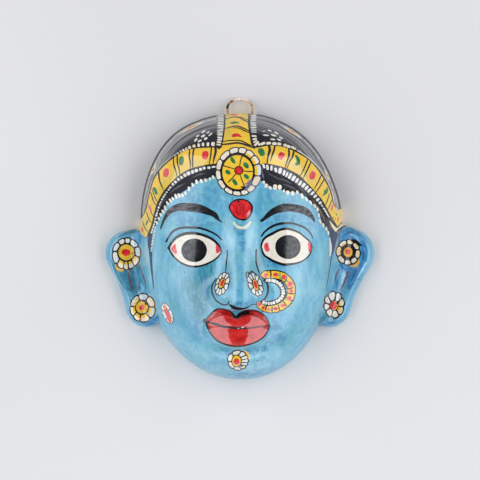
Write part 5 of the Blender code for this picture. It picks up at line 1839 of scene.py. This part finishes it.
def add_loop():
    """Two plies of twine, twisted about the loop's line."""
    line = loop_points()
    along = lengths(line)
    steps = np.linspace(0, along[-1], TWINE_STEPS)
    middle = np.stack([np.interp(steps, along, line[:, k]) for k in range(3)], 1)
    ahead = unit(np.gradient(middle, axis=0))
    aside = unit(np.cross(ahead, (0, 0, 1)))
    up = np.cross(aside, ahead)
    builder = bmesh.new()
    for ply in (0, math.pi):
        turn = 2 * math.pi * steps / TWINE_PITCH + ply
        core = middle + PLY_OFFSET * (np.cos(turn)[:, None] * aside + np.sin(turn)[:, None] * up)
        rings = []
        for k in range(TWINE_STEPS):
            round_ply = []
            for corner in range(PLY_SIDES):
                angle = 2 * math.pi * corner / PLY_SIDES
                fibre = 1 + FIBRE_RIDGE_SIZE * math.sin(FIBRE_RIDGES * angle + FIBRE_TWIST * turn[k])
                out = math.cos(angle) * aside[k] + math.sin(angle) * up[k]
                round_ply.append(builder.verts.new(core[k] + PLY_RADIUS * fibre * out))
            rings.append(round_ply)
        for first, second in zip(rings, rings[1:]):
            for corner in range(PLY_SIDES):
                after = (corner + 1) % PLY_SIDES
                builder.faces.new((first[corner], first[after], second[after], second[corner]))
        builder.faces.new(rings[0][::-1])
        builder.faces.new(rings[-1])
    bmesh.ops.recalc_face_normals(builder, faces=builder.faces)
    mesh = bpy.data.meshes.new("twine_loop")
    builder.to_mesh(mesh)
    builder.free()
    mesh.shade_smooth()
    mesh.materials.append(twine_fibre())
    points = np.array([tuple(vertex.co) for vertex in mesh.vertices])
    shades = mesh.attributes.new("shade", "FLOAT_COLOR", "POINT")
    shades.data.foreach_set("color", twine_shade(points, line[0, 1]).ravel())
    loop = add_object("twine_loop", mesh)
    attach(loop, "root")
    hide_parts("hanging_loop")
    socket_place(-1).tolist()


def add_floor():
    mix = Mix("pale_floor", 0.7, 0.0, 0.5)
    clouds = mix.ramp(mix.noise(3, detail=2.0), 0.3, 0.7)
    mix.tone = mix.blend(clouds, colour(229, 227, 225), colour(235, 233, 230))
    builder = bmesh.new()
    bmesh.ops.create_grid(builder, x_segments=1, y_segments=1, size=FLOOR_HALF)
    mesh = bpy.data.meshes.new("floor")
    builder.to_mesh(mesh)
    builder.free()
    mesh.materials.append(mix.finish())
    floor = add_object("floor", mesh)
    floor.location.z = -FLOOR_DROP


def add_lights():
    for name, side, power in (("left_light", -1, LEFT_POWER), ("right_light", 1, RIGHT_POWER)):
        data = bpy.data.lights.new(name, "AREA")
        data.shape = "RECTANGLE"
        data.size, data.size_y = LIGHT_WIDE, LIGHT_LONG
        data.energy = power
        data.color = LIGHT_TINT
        light = add_object(name, data)
        lean = math.radians(LIGHT_LEAN)
        light.location = (side * LIGHT_AWAY * math.sin(lean), LIGHT_Y, LIGHT_AWAY * math.cos(lean))
        light.rotation_euler = (0, side * lean, 0)
        light.visible_camera = False


def add_sky():
    """Pale light from all round that fades out overhead, where the varnish would mirror it."""
    world = bpy.data.worlds.new("studio")
    world.use_nodes = True
    tree = world.node_tree
    place = tree.nodes.new("ShaderNodeTexCoord").outputs["Generated"]
    parts = tree.nodes.new("ShaderNodeSeparateXYZ")
    fade = tree.nodes.new("ShaderNodeMapRange")
    fade.inputs["From Min"].default_value = FADE_START
    fade.inputs["From Max"].default_value = FADE_END
    fade.inputs["To Min"].default_value = WORLD_STRENGTH
    fade.inputs["To Max"].default_value = WORLD_STRENGTH * DARK_OVERHEAD
    tree.links.new(place, parts.inputs[0])
    tree.links.new(parts.outputs["Z"], fade.inputs["Value"])
    background = tree.nodes["Background"]
    tree.links.new(fade.outputs[0], background.inputs["Strength"])
    background.inputs["Color"].default_value = WORLD_TINT
    bpy.context.scene.world = world


add_camera()
add_loop()
PAINTS = make_paints()
add_head()
add_ear("left_ear", -1)
add_ear("right_ear", 1)
add_floor()
add_lights()
add_sky()
bpy.context.scene.view_settings.view_transform = "Standard"
